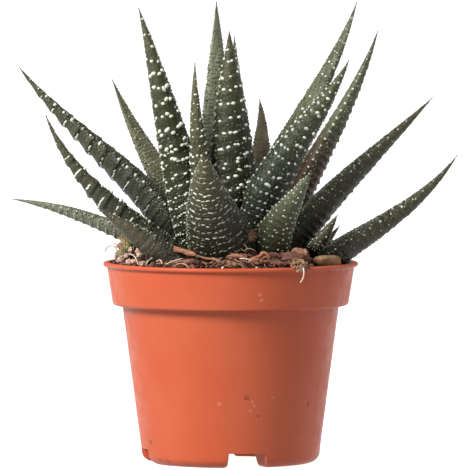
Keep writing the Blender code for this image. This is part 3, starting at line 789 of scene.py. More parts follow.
EDGE_GRAIN = WartLayer((-24, 14), 1.1, 1.3, (0.42, 0.32, 0.34), 0.2, 0.4, 30.0, 0.15, 0.16, both_edges=True)
TIP_GRAIN = WartLayer((-10, 6), 1.3, 9.0, (0.32, 0.27, 0.27), 0.1, 0.4, 30.0, 0.75, 0.2, (0.5, 0.98),
                      both_edges=True)
INNER_GRAIN = WartLayer((18, 162), 1.6, 1.5, (0.36, 0.26, 0.2), 0.35, 0.4, 30.0, 0.08, 0.06)
INNER_DOTS = WartLayer((16, 164), 4.2, 3.4, (0.44, 0.38, 0.32), 0.35, 0.4, 20.0, 0.85, 0.15)


@dataclass(frozen=True)
class Pattern:
    """How a leaf is marked: its swollen bands and the layers of warts on them.

    ridge is the swell of a band, in millimetres, saw how much it falls away on one side only, slant how far
    the bands lean across the leaf, and plain_base how much they fade towards its root.
    """

    pitch: float
    ridge: float
    saw: float
    layers: tuple[WartLayer, ...]
    slant: float = 0.0
    plain_base: float = 0.0


class Marking(Enum):
    """The patterns that the rosette shows."""

    BOLD = Pattern(4.7, 0.3, 0.5, (
        WartLayer((-168, -12), 4.7, 1.95, (0.84, 0.66, 0.54), 0.14, 0.26, 26.0, 0.97, 0.08, (0.36, 0.975)),
        WartLayer((-168, -12), 3.9, 1.75, (0.74, 0.46, 0.46), 0.1, 0.24, 22.0, 0.92, 0.12, (0.05, 0.4)),
        WartLayer((-166, -14), 1.5, 1.6, (0.4, 0.34, 0.36), 0.35, 0.3, 25.0, 0.16, 0.16, (0.05, 0.5)),
        edge_row(2.0, 0.42, 0.8), edge_row(1.5, 0.34, 0.5, -12.0, 0.2), TIP_GRAIN, EDGE_GRAIN, INNER_GRAIN,
        INNER_DOTS,
    ), 0.18)
    ZIGZAG = Pattern(4.5, 0.34, 0.5, (
        WartLayer((-168, -12), 4.5, 2.15, (0.75, 0.54, 0.49), 0.12, 0.24, 16.0, 0.95),
        WartLayer((-166, -14), 1.5, 1.6, (0.4, 0.34, 0.36), 0.35, 0.3, 25.0, 0.12, 0.12, (0.05, 0.6)),
        edge_row(2.2, 0.44, 0.85), TIP_GRAIN, EDGE_GRAIN, INNER_GRAIN,
    ), 0.34)
    MEDIUM = Pattern(3.3, 0.24, 0.4, (
        WartLayer((-165, -15), 3.1, 2.2, (0.72, 0.54, 0.46), 0.12, 0.22, 28.0, 0.74, 0.14),
        WartLayer((-165, -15), 1.4, 1.6, (0.38, 0.3, 0.28), 0.4, 0.3, 28.0, 0.14, 0.1),
        edge_row(2.2, 0.52, 0.92), edge_row(2.6, 0.36, 0.7, 14.0), EDGE_GRAIN, INNER_GRAIN, INNER_DOTS,
    ), 0.0, 0.7)
    DASHED = Pattern(2.4, 0.22, 0.4, (
        WartLayer((-174, -6), 2.4, 1.9, (0.8, 0.29, 0.28), 0.16, 0.2, 12.0, 0.5, 0.24, (0.16, 0.95)),
        WartLayer((-172, -8), 1.8, 1.9, (0.32, 0.26, 0.24), 0.3, 0.3, 30.0, 0.34, 0.2, (0.03, 0.6)),
        edge_row(1.4, 0.34, 0.55), EDGE_GRAIN, INNER_GRAIN,
    ), 0.0, 1.0)
    BANDED = Pattern(6.0, 0.95, 1.0, (
        WartLayer((-160, -34), 6.0, 1.05, (0.84, 0.4, 0.4), 0.16, 0.05, 6.0, 0.94, 0.06, (0.24, 0.975)),
        edge_row(4.1, 0.56, 0.97, 0.0), edge_row(2.7, 0.34, 0.35, 24.0, 0.3),
        edge_row(1.2, 0.34, 0.1, 44.0, 0.2),
        EDGE_GRAIN, INNER_GRAIN,
    ), 0.3, 0.5)
    LINED = Pattern(3.0, 0.34, 0.9, (
        WartLayer((-140, -30), 3.0, 0.9, (0.52, 0.17, 0.2), 0.06, 0.05, 6.0, 0.66, 0.1, (0.1, 0.9)),
        WartLayer((-176, -140), 1.5, 1.5, (0.34, 0.28, 0.26), 0.2, 0.3, 20.0, 0.45, 0.2, (0.1, 0.9)),
        WartLayer((-30, -6), 1.5, 1.5, (0.34, 0.28, 0.26), 0.2, 0.3, 20.0, 0.45, 0.2, (0.1, 0.9)),
        edge_row(3.0, 0.36, 0.8), EDGE_GRAIN, INNER_GRAIN,
    ), 0.2)
    SMUDGED = Pattern(3.4, 0.16, 0.6, (
        WartLayer((-160, -20), 4.2, 1.1, (0.56, 0.14, 0.14), 0.5, 0.1, 6.0, 0.24, 0.08, (0.2, 0.8)),
        WartLayer((-168, -12), 3.4, 3.6, (0.3, 0.24, 0.2), 0.5, 0.3, 20.0, 0.26, 0.12),
        edge_row(1.5, 0.28, 0.62, 0.0, 0.2), EDGE_GRAIN, INNER_GRAIN,
    ))
    FINE = Pattern(3.1, 0.22, 0.4, (
        WartLayer((-170, -10), 2.8, 1.6, (0.56, 0.46, 0.4), 0.12, 0.28, 25.0, 0.95, 0.12),
        WartLayer((-168, -12), 1.3, 1.3, (0.4, 0.28, 0.28), 0.3, 0.3, 25.0, 0.14, 0.1),
        WartLayer((12, 168), 3.1, 2.7, (0.42, 0.36, 0.3), 0.25, 0.3, 25.0, 0.8, 0.15),
        edge_row(2.2, 0.38, 0.8), EDGE_GRAIN, INNER_GRAIN,
    ))
    SPOTTED = Pattern(2.1, 0.12, 0.2, (
        WartLayer((-172, -8), 2.1, 1.85, (0.4, 0.33, 0.3), 0.18, 0.3, 30.0, 0.78, 0.18),
        edge_row(1.6, 0.36, 0.85), EDGE_GRAIN, INNER_GRAIN,
    ))
    KEELED = Pattern(4.2, 0.22, 0.5, (
        WartLayer((84, 96), 4.2, 9.0, (0.5, 0.46, 0.4), 0.05, 0.12, 20.0, 0.95),
        WartLayer((120, 134), 4.2, 9.0, (0.42, 0.36, 0.32), 0.3, 0.2, 20.0, 0.85),
        WartLayer((14, 166), 1.7, 1.6, (0.32, 0.28, 0.24), 0.3, 0.35, 25.0, 0.6, 0.2, (0.05, 0.45)),
        WartLayer((-168, -12), 3.4, 2.4, (0.5, 0.4, 0.34), 0.15, 0.28, 25.0, 0.86, 0.15),
        edge_row(3.0, 0.38, 0.8), EDGE_GRAIN, INNER_GRAIN,
    ))
    FAINT = Pattern(3.0, 0.28, 0.6, (
        WartLayer((-165, -30), 3.0, 2.0, (0.42, 0.3, 0.28), 0.25, 0.25, 20.0, 0.2, 0.16),
        WartLayer((-26, -14), 4.3, 9.0, (0.46, 0.38, 0.34), 0.05, 0.15, 20.0, 0.8, 0.1, both_edges=True),
        edge_row(1.9, 0.32, 0.35), EDGE_GRAIN, INNER_GRAIN,
    ))
    RIBBED = Pattern(2.5, 0.24, 0.3, (
        WartLayer((10, 170), 1.35, 1.2, (0.56, 0.26, 0.18), 0.2, 0.22, 12.0, 0.3, 0.08),
        WartLayer((12, 168), 4.6, 3.0, (0.4, 0.34, 0.3), 0.5, 0.3, 25.0, 0.6),
        WartLayer((-168, -12), 1.35, 1.3, (0.56, 0.27, 0.2), 0.2, 0.22, 12.0, 0.26, 0.08),
        WartLayer((-168, -12), 4.4, 3.0, (0.42, 0.36, 0.33), 0.4, 0.28, 25.0, 0.6, 0.2),
        edge_row(1.3, 0.34, 0.3), EDGE_GRAIN,
    ))
    EDGED = Pattern(2.6, 0.6, 0.8, (
        WartLayer((-165, -20), 2.6, 2.2, (0.4, 0.3, 0.26), 0.35, 0.25, 20.0, 0.15, 0.1),
        edge_row(2.8, 0.46, 0.85), EDGE_GRAIN,
        WartLayer((20, 160), 3.8, 3.6, (0.34, 0.3, 0.24), 0.45, 0.3, 20.0, 0.6, 0.2),
    ))
    PLAIN = Pattern(3.4, 0.08, 0.3, (EDGE_GRAIN,))


class Skin(Enum):
    """The leaves' skins."""

    DARK = LeafSkin("leaf_dark_green", upper=(0.108, 0.106, 0.056), base=(0.012, 0.019, 0.006))
    DEEP = LeafSkin("leaf_deep_green", deep=(0.0075, 0.0105, 0.0035), pale=(0.048, 0.055, 0.022))
    BLUISH = LeafSkin("leaf_bluish", deep=(0.009, 0.014, 0.0085), pale=(0.048, 0.06, 0.033),
        cool=(0.018, 0.03, 0.026), upper=(0.11, 0.118, 0.06), base_start=0.14, base_reach=0.42)
    BANDS = LeafSkin("leaf_banded", deep=(0.015, 0.016, 0.007), pale=(0.08, 0.08, 0.04),
        cool=(0.05, 0.06, 0.054), inner=(0.034, 0.038, 0.016), keel=(0.05, 0.056, 0.042), trough_shade=0.8)
    BLOTCHED = LeafSkin("leaf_blotched", deep=(0.034, 0.03, 0.016), pale=(0.115, 0.106, 0.068),
        cool=(0.08, 0.082, 0.066), upper=(0.062, 0.052, 0.026), inner=(0.06, 0.052, 0.026),
        keel=(0.1, 0.098, 0.07), base=(0.13, 0.128, 0.108), base_start=0.16, base_reach=0.3, trough_shade=0.5,
        crumple=2.5)
    GREY = LeafSkin("leaf_grey_green", deep=(0.033, 0.037, 0.017), pale=(0.125, 0.133, 0.076),
        cool=(0.085, 0.098, 0.066), upper=(0.15, 0.152, 0.095), inner=(0.14, 0.15, 0.084),
        keel=(0.06, 0.062, 0.034))
    ASH = LeafSkin("leaf_ash_green", deep=(0.088, 0.097, 0.06), pale=(0.23, 0.24, 0.17),
        cool=(0.175, 0.195, 0.16), upper=(0.25, 0.25, 0.175), inner=(0.22, 0.23, 0.15),
        keel=(0.12, 0.124, 0.084), base=(0.04, 0.04, 0.02))
    TALL = LeafSkin("leaf_tall_grey", deep=(0.17, 0.18, 0.104), pale=(0.3, 0.312, 0.2),
        cool=(0.215, 0.235, 0.16), upper=(0.33, 0.335, 0.235), inner=(0.3, 0.312, 0.205),
        keel=(0.2, 0.204, 0.12), trough_shade=0.2, base=(0.03, 0.034, 0.014))
    MOSSY = LeafSkin("leaf_moss_green", deep=(0.066, 0.067, 0.027), pale=(0.178, 0.176, 0.084),
        upper=(0.25, 0.238, 0.142), inner=(0.165, 0.163, 0.078), base_start=0.22, base_reach=0.4)
    OLIVE = LeafSkin("leaf_olive", deep=(0.038, 0.039, 0.014), pale=(0.105, 0.103, 0.045),
        upper=(0.14, 0.132, 0.07), inner=(0.094, 0.094, 0.042))
    LIGHT = LeafSkin("leaf_light_green", deep=(0.04, 0.047, 0.021), pale=(0.12, 0.13, 0.07),
        upper=(0.15, 0.152, 0.09))
    PALE = LeafSkin("leaf_pale_olive", deep=(0.026, 0.025, 0.009), pale=(0.1, 0.096, 0.04),
        upper=(0.125, 0.112, 0.052), base=(0.0016, 0.0015, 0.0009), base_start=0.3, base_reach=0.6)
    BROWNED = LeafSkin("leaf_browned", deep=(0.02, 0.021, 0.009), pale=(0.09, 0.09, 0.048),
        cool=(0.062, 0.07, 0.055), upper=(0.115, 0.108, 0.066), keel=(0.056, 0.042, 0.026),
        base=(0.01, 0.008, 0.005), base_reach=0.4)
    STAINED = LeafSkin("leaf_stained", deep=(0.06, 0.062, 0.03), pale=(0.135, 0.14, 0.08),
        upper=(0.165, 0.166, 0.1), inner=(0.15, 0.16, 0.09), keel=(0.075, 0.056, 0.038),
        base=(0.12, 0.052, 0.038), base_start=0.5, base_reach=0.14, crumple=5.0)
    DRY = LeafSkin("leaf_dry", deep=(0.38, 0.32, 0.215), pale=(0.68, 0.6, 0.44), cool=(0.46, 0.4, 0.28),
        upper=(0.46, 0.38, 0.26), inner=(0.52, 0.44, 0.3), keel=(0.52, 0.44, 0.3), base=(0.15, 0.105, 0.07),
        tip=(0.2, 0.12, 0.08), tip_start=0.85, roughness=0.6)


@dataclass(frozen=True)
class Leaf:
    """One leaf, with the same form as its CAD node. Angles are in degrees, places and lengths in millimetres.

    root is the azimuth and the elevation of its root on the stem's dome. The spine, which runs between the
    leaf's two edges, passes through low and high a third and two thirds of the way to tip. roll turns the
    leaf's face about its spine, and a higher taper keeps it wide for longer. extra marks a leaf that has no
    CAD node.
    """

    name: str
    root: tuple[float, float]
    low: Point
    high: Point
    tip: Point
    width: float
    roll: float
    taper: float
    marking: Marking
    skin: Skin
    on_offset: bool = False
    extra: bool = False


LEAVES: tuple[Leaf, ...] = (
    Leaf("leaf_left_low", (176, 17), (-33, 4.5, 76.6), (-53.5, 8.5, 83.9), (-73.6, 12, 87.4), 9.5, 5, 2.0,
        Marking.LINED, Skin.ASH),
    Leaf("leaf_left_front", (214, 10), (-30, -12.5, 78.6), (-48.2, -15, 95.4), (-61.4, -14, 116.6), 13.4,
        30, 1.2, Marking.BANDED, Skin.BANDS),
    Leaf("leaf_left_high", (164, 32), (-28.6, 5, 92.6), (-50.3, 7, 111.6), (-71, 8, 132), 17.2, 15, 1.5,
        Marking.BANDED, Skin.BANDS),
    Leaf("leaf_back_left_high", (134, 34), (-19, 15, 89), (-30, 21, 107), (-40, 26, 127.2), 14.0, 0, 1.4,
        Marking.RIBBED, Skin.MOSSY),
    Leaf("leaf_tall_left", (205, 42), (-17, -6, 99.9), (-23.8, -7, 126.8), (-30.7, -6, 152.1), 17.0, 55,
        1.12, Marking.BOLD, Skin.DARK),
    Leaf("leaf_slim_front", (243, 36), (-8.7, -14, 92.5), (-11.2, -16.5, 113.6), (-11.8, -16, 134), 11.8, 0,
        1.15, Marking.FINE, Skin.OLIVE),
    Leaf("leaf_broad_front", (277, 8), (-5, -28, 80.7), (-8, -40, 94.4), (-8.6, -49, 106.1), 27.4, 0, 1.15,
        Marking.DASHED, Skin.PALE),
    Leaf("leaf_tallest", (122, 58), (-4.3, 8, 102), (-4.4, 10, 128), (-4.8, 11, 153.8), 16.5, 0, 1.4,
        Marking.RIBBED, Skin.TALL),
    Leaf("leaf_centre", (300, 62), (0.2, -9, 99.8), (-0.3, -9, 122.5), (-0.5, -7, 144.3), 18.6, 0, 1.7,
        Marking.ZIGZAG, Skin.DEEP),
    Leaf("leaf_centre_back", (50, 62), (2.6, 7, 99), (1.5, 9, 121), (1.3, 10, 142), 13.6, 0, 1.5,
        Marking.MEDIUM, Skin.DEEP),
    Leaf("leaf_dry_back", (78, 34), (7.4, 16, 87), (10.2, 20, 104), (9.7, 22, 120.7), 12.0, 0, 1.7,
        Marking.PLAIN, Skin.DRY),
    Leaf("leaf_tall_right", (60, 46), (15.8, 11, 100.2), (30.4, 13, 126.8), (42.4, 14, 153.7), 14.8, -15,
        1.4, Marking.KEELED, Skin.GREY),
    Leaf("leaf_right_front", (318, 38), (14.0, -16, 95.2), (26.9, -16, 115), (39.3, -15, 134.9), 16.5, -35,
        1.4, Marking.MEDIUM, Skin.BLUISH),
    Leaf("leaf_right_back", (12, 32), (23, 8, 94.5), (37.3, 14, 118.3), (49.6, 18, 144.1), 16.6, -5, 1.4,
        Marking.EDGED, Skin.STAINED),
    Leaf("leaf_right_spread", (352, 18), (29.2, 0, 86.3), (48.1, 2, 104.1), (67.6, 3, 121.9), 15.5, -20,
        1.4, Marking.FAINT, Skin.BROWNED),
    Leaf("leaf_right_low", (352, 38), (45.8, -11, 78.5), (61.6, -12, 89.2), (75.4, -12, 103.3), 12.2, -20,
        1.4, Marking.FAINT, Skin.BROWNED, True),
    Leaf("leaf_short_front", (312, 8), (13.4, -22, 77.5), (20.0, -31, 88.8), (26.6, -36, 98.9), 18.4, -10,
        1.3, Marking.SPOTTED, Skin.LIGHT),
    Leaf("leaf_offset_inner", (300, 62), (29.6, -11.5, 74.5), (32.6, -12, 78.9), (35.6, -12, 83.3), 6.5, 0,
        1.6, Marking.SPOTTED, Skin.BROWNED, True),
    Leaf("leaf_offset_outer", (66, 40), (30.4, -4.4, 72.4), (33.3, -3.6, 75.6), (36.4, -3.2, 79.2), 4.6, 0,
        1.6, Marking.SPOTTED, Skin.DARK, True),
    Leaf("leaf_back_low", (95, 10), (-1, 26, 76), (1, 38, 85), (4, 50, 91), 15.0, 0, 1.4, Marking.ZIGZAG,
        Skin.DARK),
    Leaf("leaf_back_right_low", (58, 10), (16, 22, 75), (25, 33, 83), (35, 44, 88), 14.0, 0, 1.4,
        Marking.BANDED, Skin.BANDS),
    Leaf("leaf_back_left_low", (128, 10), (-15, 23, 76), (-22, 34, 84), (-28, 46, 90), 14.0, 0, 1.4,
        Marking.MEDIUM, Skin.DARK),
    Leaf("leaf_far_left_low", (149, 8), (-24, 14, 73), (-36, 24, 77.5), (-47, 33, 79), 12.0, 0, 1.4,
        Marking.FAINT, Skin.GREY),
    Leaf("leaf_far_right_low", (30, 8), (19, 12, 71), (27.5, 19, 73), (35.5, 26, 72.6), 11.0, 0, 1.4,
        Marking.FINE, Skin.OLIVE),
    Leaf("leaf_left_stub", (222, 4), (-22.5, -20.5, 71.6), (-33.4, -24, 79.4), (-43.4, -24.5, 85.5), 13.0,
        20, 1.5, Marking.SMUDGED, Skin.BLOTCHED, extra=True),
)


@dataclass(frozen=True)
class Stem:
    """The dome that carries a rosette's leaves."""

    name: str
    centre: Point
    radii: Point
    foot_height: float


MAIN_STEM = Stem("stem", (0.0, 0.0, 60.0), (12.5, 12.5, 19.0), 52.0)
OFFSET_STEM = Stem("offset_stem", (26.0, -9.5, 63.5), (4.4, 4.4, 7.5), 58.0)


@dataclass
class Ground:
    """The soil's top, heaped up from the wall to the plant, with mounds of a place, a width and a height."""

    edge_height: float = 65.6
    slope: float = 0.25
    heap_radius: float = 17.0
    wall_radius: float = 40.2
    lump: float = 0.9
    mounds: tuple[tuple[float, float, float, float], ...] = (
        (-31.0, -9.0, 6.0, 2.8), (-35.0, -2.0, 4.0, 1.8), (4.0, -31.5, 7.5, 2.4), (19.0, -28.0, 7.0, 1.6))

    def height(self, x: float, y: float) -> float:
        """Height of the soil's top at a place, in millimetres."""
        radius = math.hypot(x, y)
        climb = self.wall_radius - max(radius, self.heap_radius)
        rough = noise.fractal(Vector((x * 0.22, y * 0.22, 3.1)), 1.0, 2.0, 4)
        heaped = sum(high * math.exp(-((x - x0) ** 2 + (y - y0) ** 2) / wide**2)
                     for x0, y0, wide, high in self.mounds)
        return self.edge_height + self.slope * climb + self.lump * rough * min(1.0, climb / 6 + 0.3) + heaped


class LeafForm:
    """The spine, the turning frame and the section sizes of one leaf, at given shares of its length."""

    THIRDS = (0, 1 / 3, 2 / 3, 1)
    UPPER_FULLNESS = 0.34
    LOWER_FULLNESS = 1.0
    ROOT_NARROWING = 0.18
    ROOT_GAP = 0.75
    TIP_HALF_WIDTH = 0.16

    def __init__(self, leaf: Leaf, shares: np.ndarray) -> None:
        """Works out the sections.

        Args:
            leaf: the leaf.
            shares: the shares of its length, from 0 at the root to 1 at the tip.
        """
        stem = OFFSET_STEM if leaf.on_offset else MAIN_STEM
        centre = np.array(stem.centre)
        around, lift = (math.radians(angle) for angle in leaf.root)
        outward = np.array(polar(math.cos(lift), around, math.sin(lift)))
        root = centre + outward * (np.array(stem.radii) + self.ROOT_GAP)
        through = np.array([root, leaf.low, leaf.high, leaf.tip], float)
        cubic = np.linalg.solve(np.vander(self.THIRDS), through)
        s = np.asarray(shares, float)
        self.shares = s
        self.centres = np.vander(s, 4) @ cubic
        self.along = unit(np.stack([3 * s**2, 2 * s, np.ones_like(s)], axis=1) @ cubic[:3])
        across = np.array([-math.sin(around), math.cos(around), 0.0])
        across = unit(across - (self.along @ across)[:, None] * self.along)
        facing = np.cross(self.along, across)
        roll = math.radians(leaf.roll)
        self.across = math.cos(roll) * across + math.sin(roll) * facing
        self.facing = np.cross(self.along, self.across)
        narrowed = np.minimum(1.0, 1 - self.ROOT_NARROWING + 2.2 * s)
        self.half_width = np.maximum(leaf.width / 2 * (1 - s**leaf.taper) * narrowed, self.TIP_HALF_WIDTH)
        self.length = float(np.linalg.norm(np.diff(self.centres, axis=0), axis=1).sum())
        self.upper = self.half_width * self.UPPER_FULLNESS
        self.lower = self.half_width * self.LOWER_FULLNESS

    def closeness(self, points: np.ndarray) -> np.ndarray:
        """How far each point is from this leaf's spine, as a share of the leaf's own section there."""
        offsets = points[:, None, :] - self.centres[None, :, :]
        nearest = np.argmin((offsets**2).sum(axis=2), axis=1)
        offset = points - self.centres[nearest]
        past = (offset * self.along[nearest]).sum(axis=1)
        beyond = np.where(nearest == 0, np.minimum(past, 0.0), 0.0)
        side = (offset * self.across[nearest]).sum(axis=1) / self.half_width[nearest]
        rise = (offset * self.facing[nearest]).sum(axis=1)
        thick = np.where(rise > 0, self.upper[nearest], self.lower[nearest])
        return np.sqrt(side**2 + (rise / thick) ** 2 + (beyond / self.lower[nearest]) ** 2)


@dataclass
class Rosette:
    """The main plant and its offset: fine leaves that stand where the CAD leaves stand, with their warts."""

    rings: int = 200
    sides: int = 56
    bump_pitch: float = 1.15
    bump_rise: float = 0.17
    tip_share: float = 0.996
    spine_samples: int = 48
    press_margin: float = 0.1
    press_steps: int = 7
    rival_reach: float = 2.2
    least_share: float = 0.08
    root_sink: float = 2.5
    first_seed: int = 11
    grain_size: float = 0.46
    crowding: float = 0.3
    crowd_end: float = 0.34
    crowd_span: float = 0.2
    saw_turn: float = 0.8
    size_range: tuple[float, float] = (0.78, 1.2)
    long_chance: float = 0.15
    long_factor: float = 1.4
    bump_layers: tuple[tuple[float, float], ...] = ((1.0, 0.6), (2.6, 0.4))
    girth: float = 4.6
    share_limits: tuple[float, float] = (0.005, 0.99)
    inner_swell: float = 0.35
    leaves: tuple[Leaf, ...] = LEAVES
    forms: dict[str, LeafForm] = field(default_factory=dict)

    def build(self, warts: GeometryTree) -> None:
        """Builds, dresses and settles each leaf.

        Args:
            warts: the tree that raises the warts.
        """
        shares = np.linspace(0.0, 1.0, self.spine_samples)
        self.forms = {leaf.name: LeafForm(leaf, shares) for leaf in self.leaves}
        skins = {skin: skin.value.material() for skin in Skin}
        chalk = WartFinish("wart_chalk").material()
        for number, leaf in enumerate(self.leaves):
            form, grid, crest = self.leaf_grid(leaf)
            skin = self.leaf_mesh(leaf, form, grid, crest)
            skin.data.materials.append(skins[leaf.skin])
            seeds = self.wart_seeds(leaf, form, grid, np.random.default_rng(self.first_seed + number))
            piece = warts.apply(skin, f"{leaf.name}_flesh", Seeds=seeds, Material=chalk)
            bpy.data.objects.remove(seeds)
            slot = "dry_leaf_skin" if leaf.skin is Skin.DRY else "leaf_skin"
            settle(piece, slot, *(() if leaf.extra else (leaf.name,)))

    def gap(self, share: float) -> float:
        """How far apart bands and warts stand at a share of a leaf's length: less than 1 near its base."""
        return 1 - self.crowding * float(smooth_step((self.crowd_end - share) / self.crowd_span))

    def bands(self, length: float, pitch: float, reach: tuple[float, float]) -> np.ndarray:
        """The shares of a leaf's length at which bands cross it, closer together near its base."""
        along, made = reach[0] * length, []
        while along < reach[1] * length:
            made.append(along / length)
            along += pitch * self.gap(along / length)
        return np.array(made)

    def leaf_grid(self, leaf: Leaf) -> tuple[LeafForm, np.ndarray, np.ndarray]:
        """The leaf's form, its rings of points, and how near each point is to a band's crest."""
        shares = self.tip_share * np.linspace(0.0, 1.0, self.rings)
        form = LeafForm(leaf, shares)
        turns = 2 * math.pi * np.arange(self.sides) / self.sides
        pattern = leaf.marking.value
        bands = self.bands(form.length, pattern.pitch, (0.0, 1.0))
        lean = pattern.slant * form.half_width[:, None] * np.cos(turns)[None, :] / form.length
        phase = np.interp(shares[:, None] - lean, bands, np.arange(len(bands)))
        part = phase - np.floor(phase)
        round_swell = 0.5 + 0.5 * np.cos(2 * math.pi * part)
        rising = smooth_step((part - self.saw_turn) / 0.2)
        saw_swell = np.where(part < self.saw_turn, 1 - part / self.saw_turn, rising)
        crest = (1 - pattern.saw) * round_swell + pattern.saw * saw_swell
        plain = pattern.plain_base * smooth_step((0.5 - shares) / 0.16)
        fade = np.minimum(1.0, form.half_width / 4.0) * (1 - plain)
        swell = pattern.ridge * (crest - 0.4) * fade[:, None]
        x = form.half_width[:, None] * np.cos(turns)[None, :]
        thick = np.where((np.sin(turns) < 0)[None, :], form.lower[:, None], form.upper[:, None])
        y = thick * np.sin(turns)[None, :]
        reach = x[..., None] * form.across[:, None, :] + y[..., None] * form.facing[:, None, :]
        outer = np.where(np.sin(turns) < 0.15, 1.0, self.inner_swell)[None, :]
        swell = swell * outer + self.bumps(leaf, form)
        reach = reach * (1 + swell[..., None] / np.linalg.norm(reach, axis=-1, keepdims=True))
        grid = form.centres[:, None, :] + reach
        return form, self.press_apart(leaf, form, grid), round_swell

    def bumps(self, leaf: Leaf, form: LeafForm) -> np.ndarray:
        """Small irregular bumps of the flesh, in millimetres at each point of the leaf's grid."""
        dice = np.random.default_rng(int(leaf.width * 10) + len(leaf.name))
        rise = np.zeros((self.rings, self.sides))
        for factor, share in self.bump_layers:
            pitch = self.bump_pitch * factor
            rows, columns = int(form.length / pitch) + 2, max(6, round(self.girth * leaf.width / 2 / pitch))
            knots = dice.uniform(-1, 1, (rows, columns))
            along = np.repeat((form.shares * (rows - 2))[:, None], self.sides, axis=1)
            around = np.repeat((np.arange(self.sides) / self.sides * columns)[None, :], self.rings, axis=0)
            row, column = np.floor(along).astype(int), np.floor(around).astype(int)
            down, right = smooth_step(along - row), smooth_step(around - column)
            rise += share * between(knots, (row, column), down, right)
        return self.bump_rise * rise * np.minimum(1.0, form.half_width / 3.0)[:, None]

    def press_apart(self, leaf: Leaf, form: LeafForm, grid: np.ndarray) -> np.ndarray:
        """Draws in each point that lies nearer to a neighbour's spine than to its own."""
        centres = np.repeat(form.centres[:, None, :], self.sides, axis=1).reshape(-1, 3)
        reach = grid.reshape(-1, 3) - centres
        points = centres + reach
        own = self.forms[leaf.name]
        others = [form for name, form in self.forms.items() if name != leaf.name]
        rivals = [other for other in others if (other.closeness(points) < self.rival_reach).any()]
        low = np.full(len(reach), self.least_share)
        high = np.ones(len(reach))
        share = high.copy()
        for _ in range(self.press_steps):
            points = centres + reach * share[:, None]
            mine = own.closeness(points)
            free = np.ones(len(points), bool)
            for other in rivals:
                free &= other.closeness(points) - mine > self.press_margin
            low = np.where(free, share, low)
            high = np.where(free, high, share)
            share = np.where(free & (share >= 1.0), 1.0, (low + high) / 2)
        return (centres + reach * low[:, None]).reshape(grid.shape)

    def leaf_mesh(self, leaf: Leaf, form: LeafForm, grid: np.ndarray, crest: np.ndarray) -> bpy.types.Object:
        """The leaf's closed mesh, with the values that its skin reads."""
        sunk = form.centres[0] - form.along[0] * self.root_sink
        made = closed_tube(f"{leaf.name}_skin", grid, tuple(sunk), leaf.tip)
        rise = np.sin(2 * math.pi * np.arange(self.sides) / self.sides)
        values = {
            "share": np.repeat(form.shares[:, None], self.sides, axis=1),
            "inner": np.repeat(smooth_step((rise + 0.06) / 0.45)[None, :], self.rings, axis=0),
            "under": np.repeat(smooth_step((-rise - 0.15) / 0.6)[None, :], self.rings, axis=0),
            "crest": crest,
        }
        for name, field_values in values.items():
            set_point_values(made, name, np.append(field_values.ravel(), [0.0, float(name == "share")]))
        return made

    def wart_seeds(self, leaf: Leaf, form: LeafForm, grid: np.ndarray,
                   dice: np.random.Generator) -> bpy.types.Object:
        """The points at which a leaf's warts stand, with each one's facing, direction, size and tone."""
        layers = leaf.marking.value.layers
        spots = [spot for layer in layers for spot in self.layer_spots(layer, leaf, form, dice)]
        share, turn, tilt = (np.array([spot[index] for spot in spots]) for index in range(3))
        rows = share / self.tip_share * (self.rings - 1)
        columns = turn / (2 * math.pi) * self.sides
        here = self.sample(grid, rows, columns)
        sideways = unit(self.sample(grid, rows, columns + 0.5) - self.sample(grid, rows, columns - 0.5))
        upwards = unit(self.sample(grid, rows + 1.5, columns) - self.sample(grid, rows - 1.5, columns))
        facing = unit(np.cross(sideways, upwards))
        centres = self.sample(np.repeat(form.centres[:, None, :], self.sides, axis=1), rows, columns)
        facing = np.where(((here - centres) * facing).sum(axis=1)[:, None] < 0, -facing, facing)
        sideways = np.cos(tilt)[:, None] * sideways + np.sin(tilt)[:, None] * upwards
        seeds = new_mesh_object(f"{leaf.name}_seeds", here, [], [])
        sizes, tones = (np.array([spot[index] for spot in spots]) for index in (3, 4))
        grain = (sizes[:, 0] < self.grain_size).astype(float)
        values = {"facing": facing, "sideways": sideways, "size": sizes * MM, "tone": tones, "grain": grain}
        for name, point_values in values.items():
            set_point_values(seeds, name, point_values)
        return seeds

    def sample(self, grid: np.ndarray, rows: np.ndarray, columns: np.ndarray) -> np.ndarray:
        """Points of the leaf's surface between the grid's own."""
        rows = np.clip(rows, 0.0, self.rings - 1.001)
        row, column = np.floor(rows).astype(int), np.floor(columns).astype(int)
        down, right = (rows - row)[:, None], (columns - column)[:, None]
        return between(grid, (row, column), down, right)

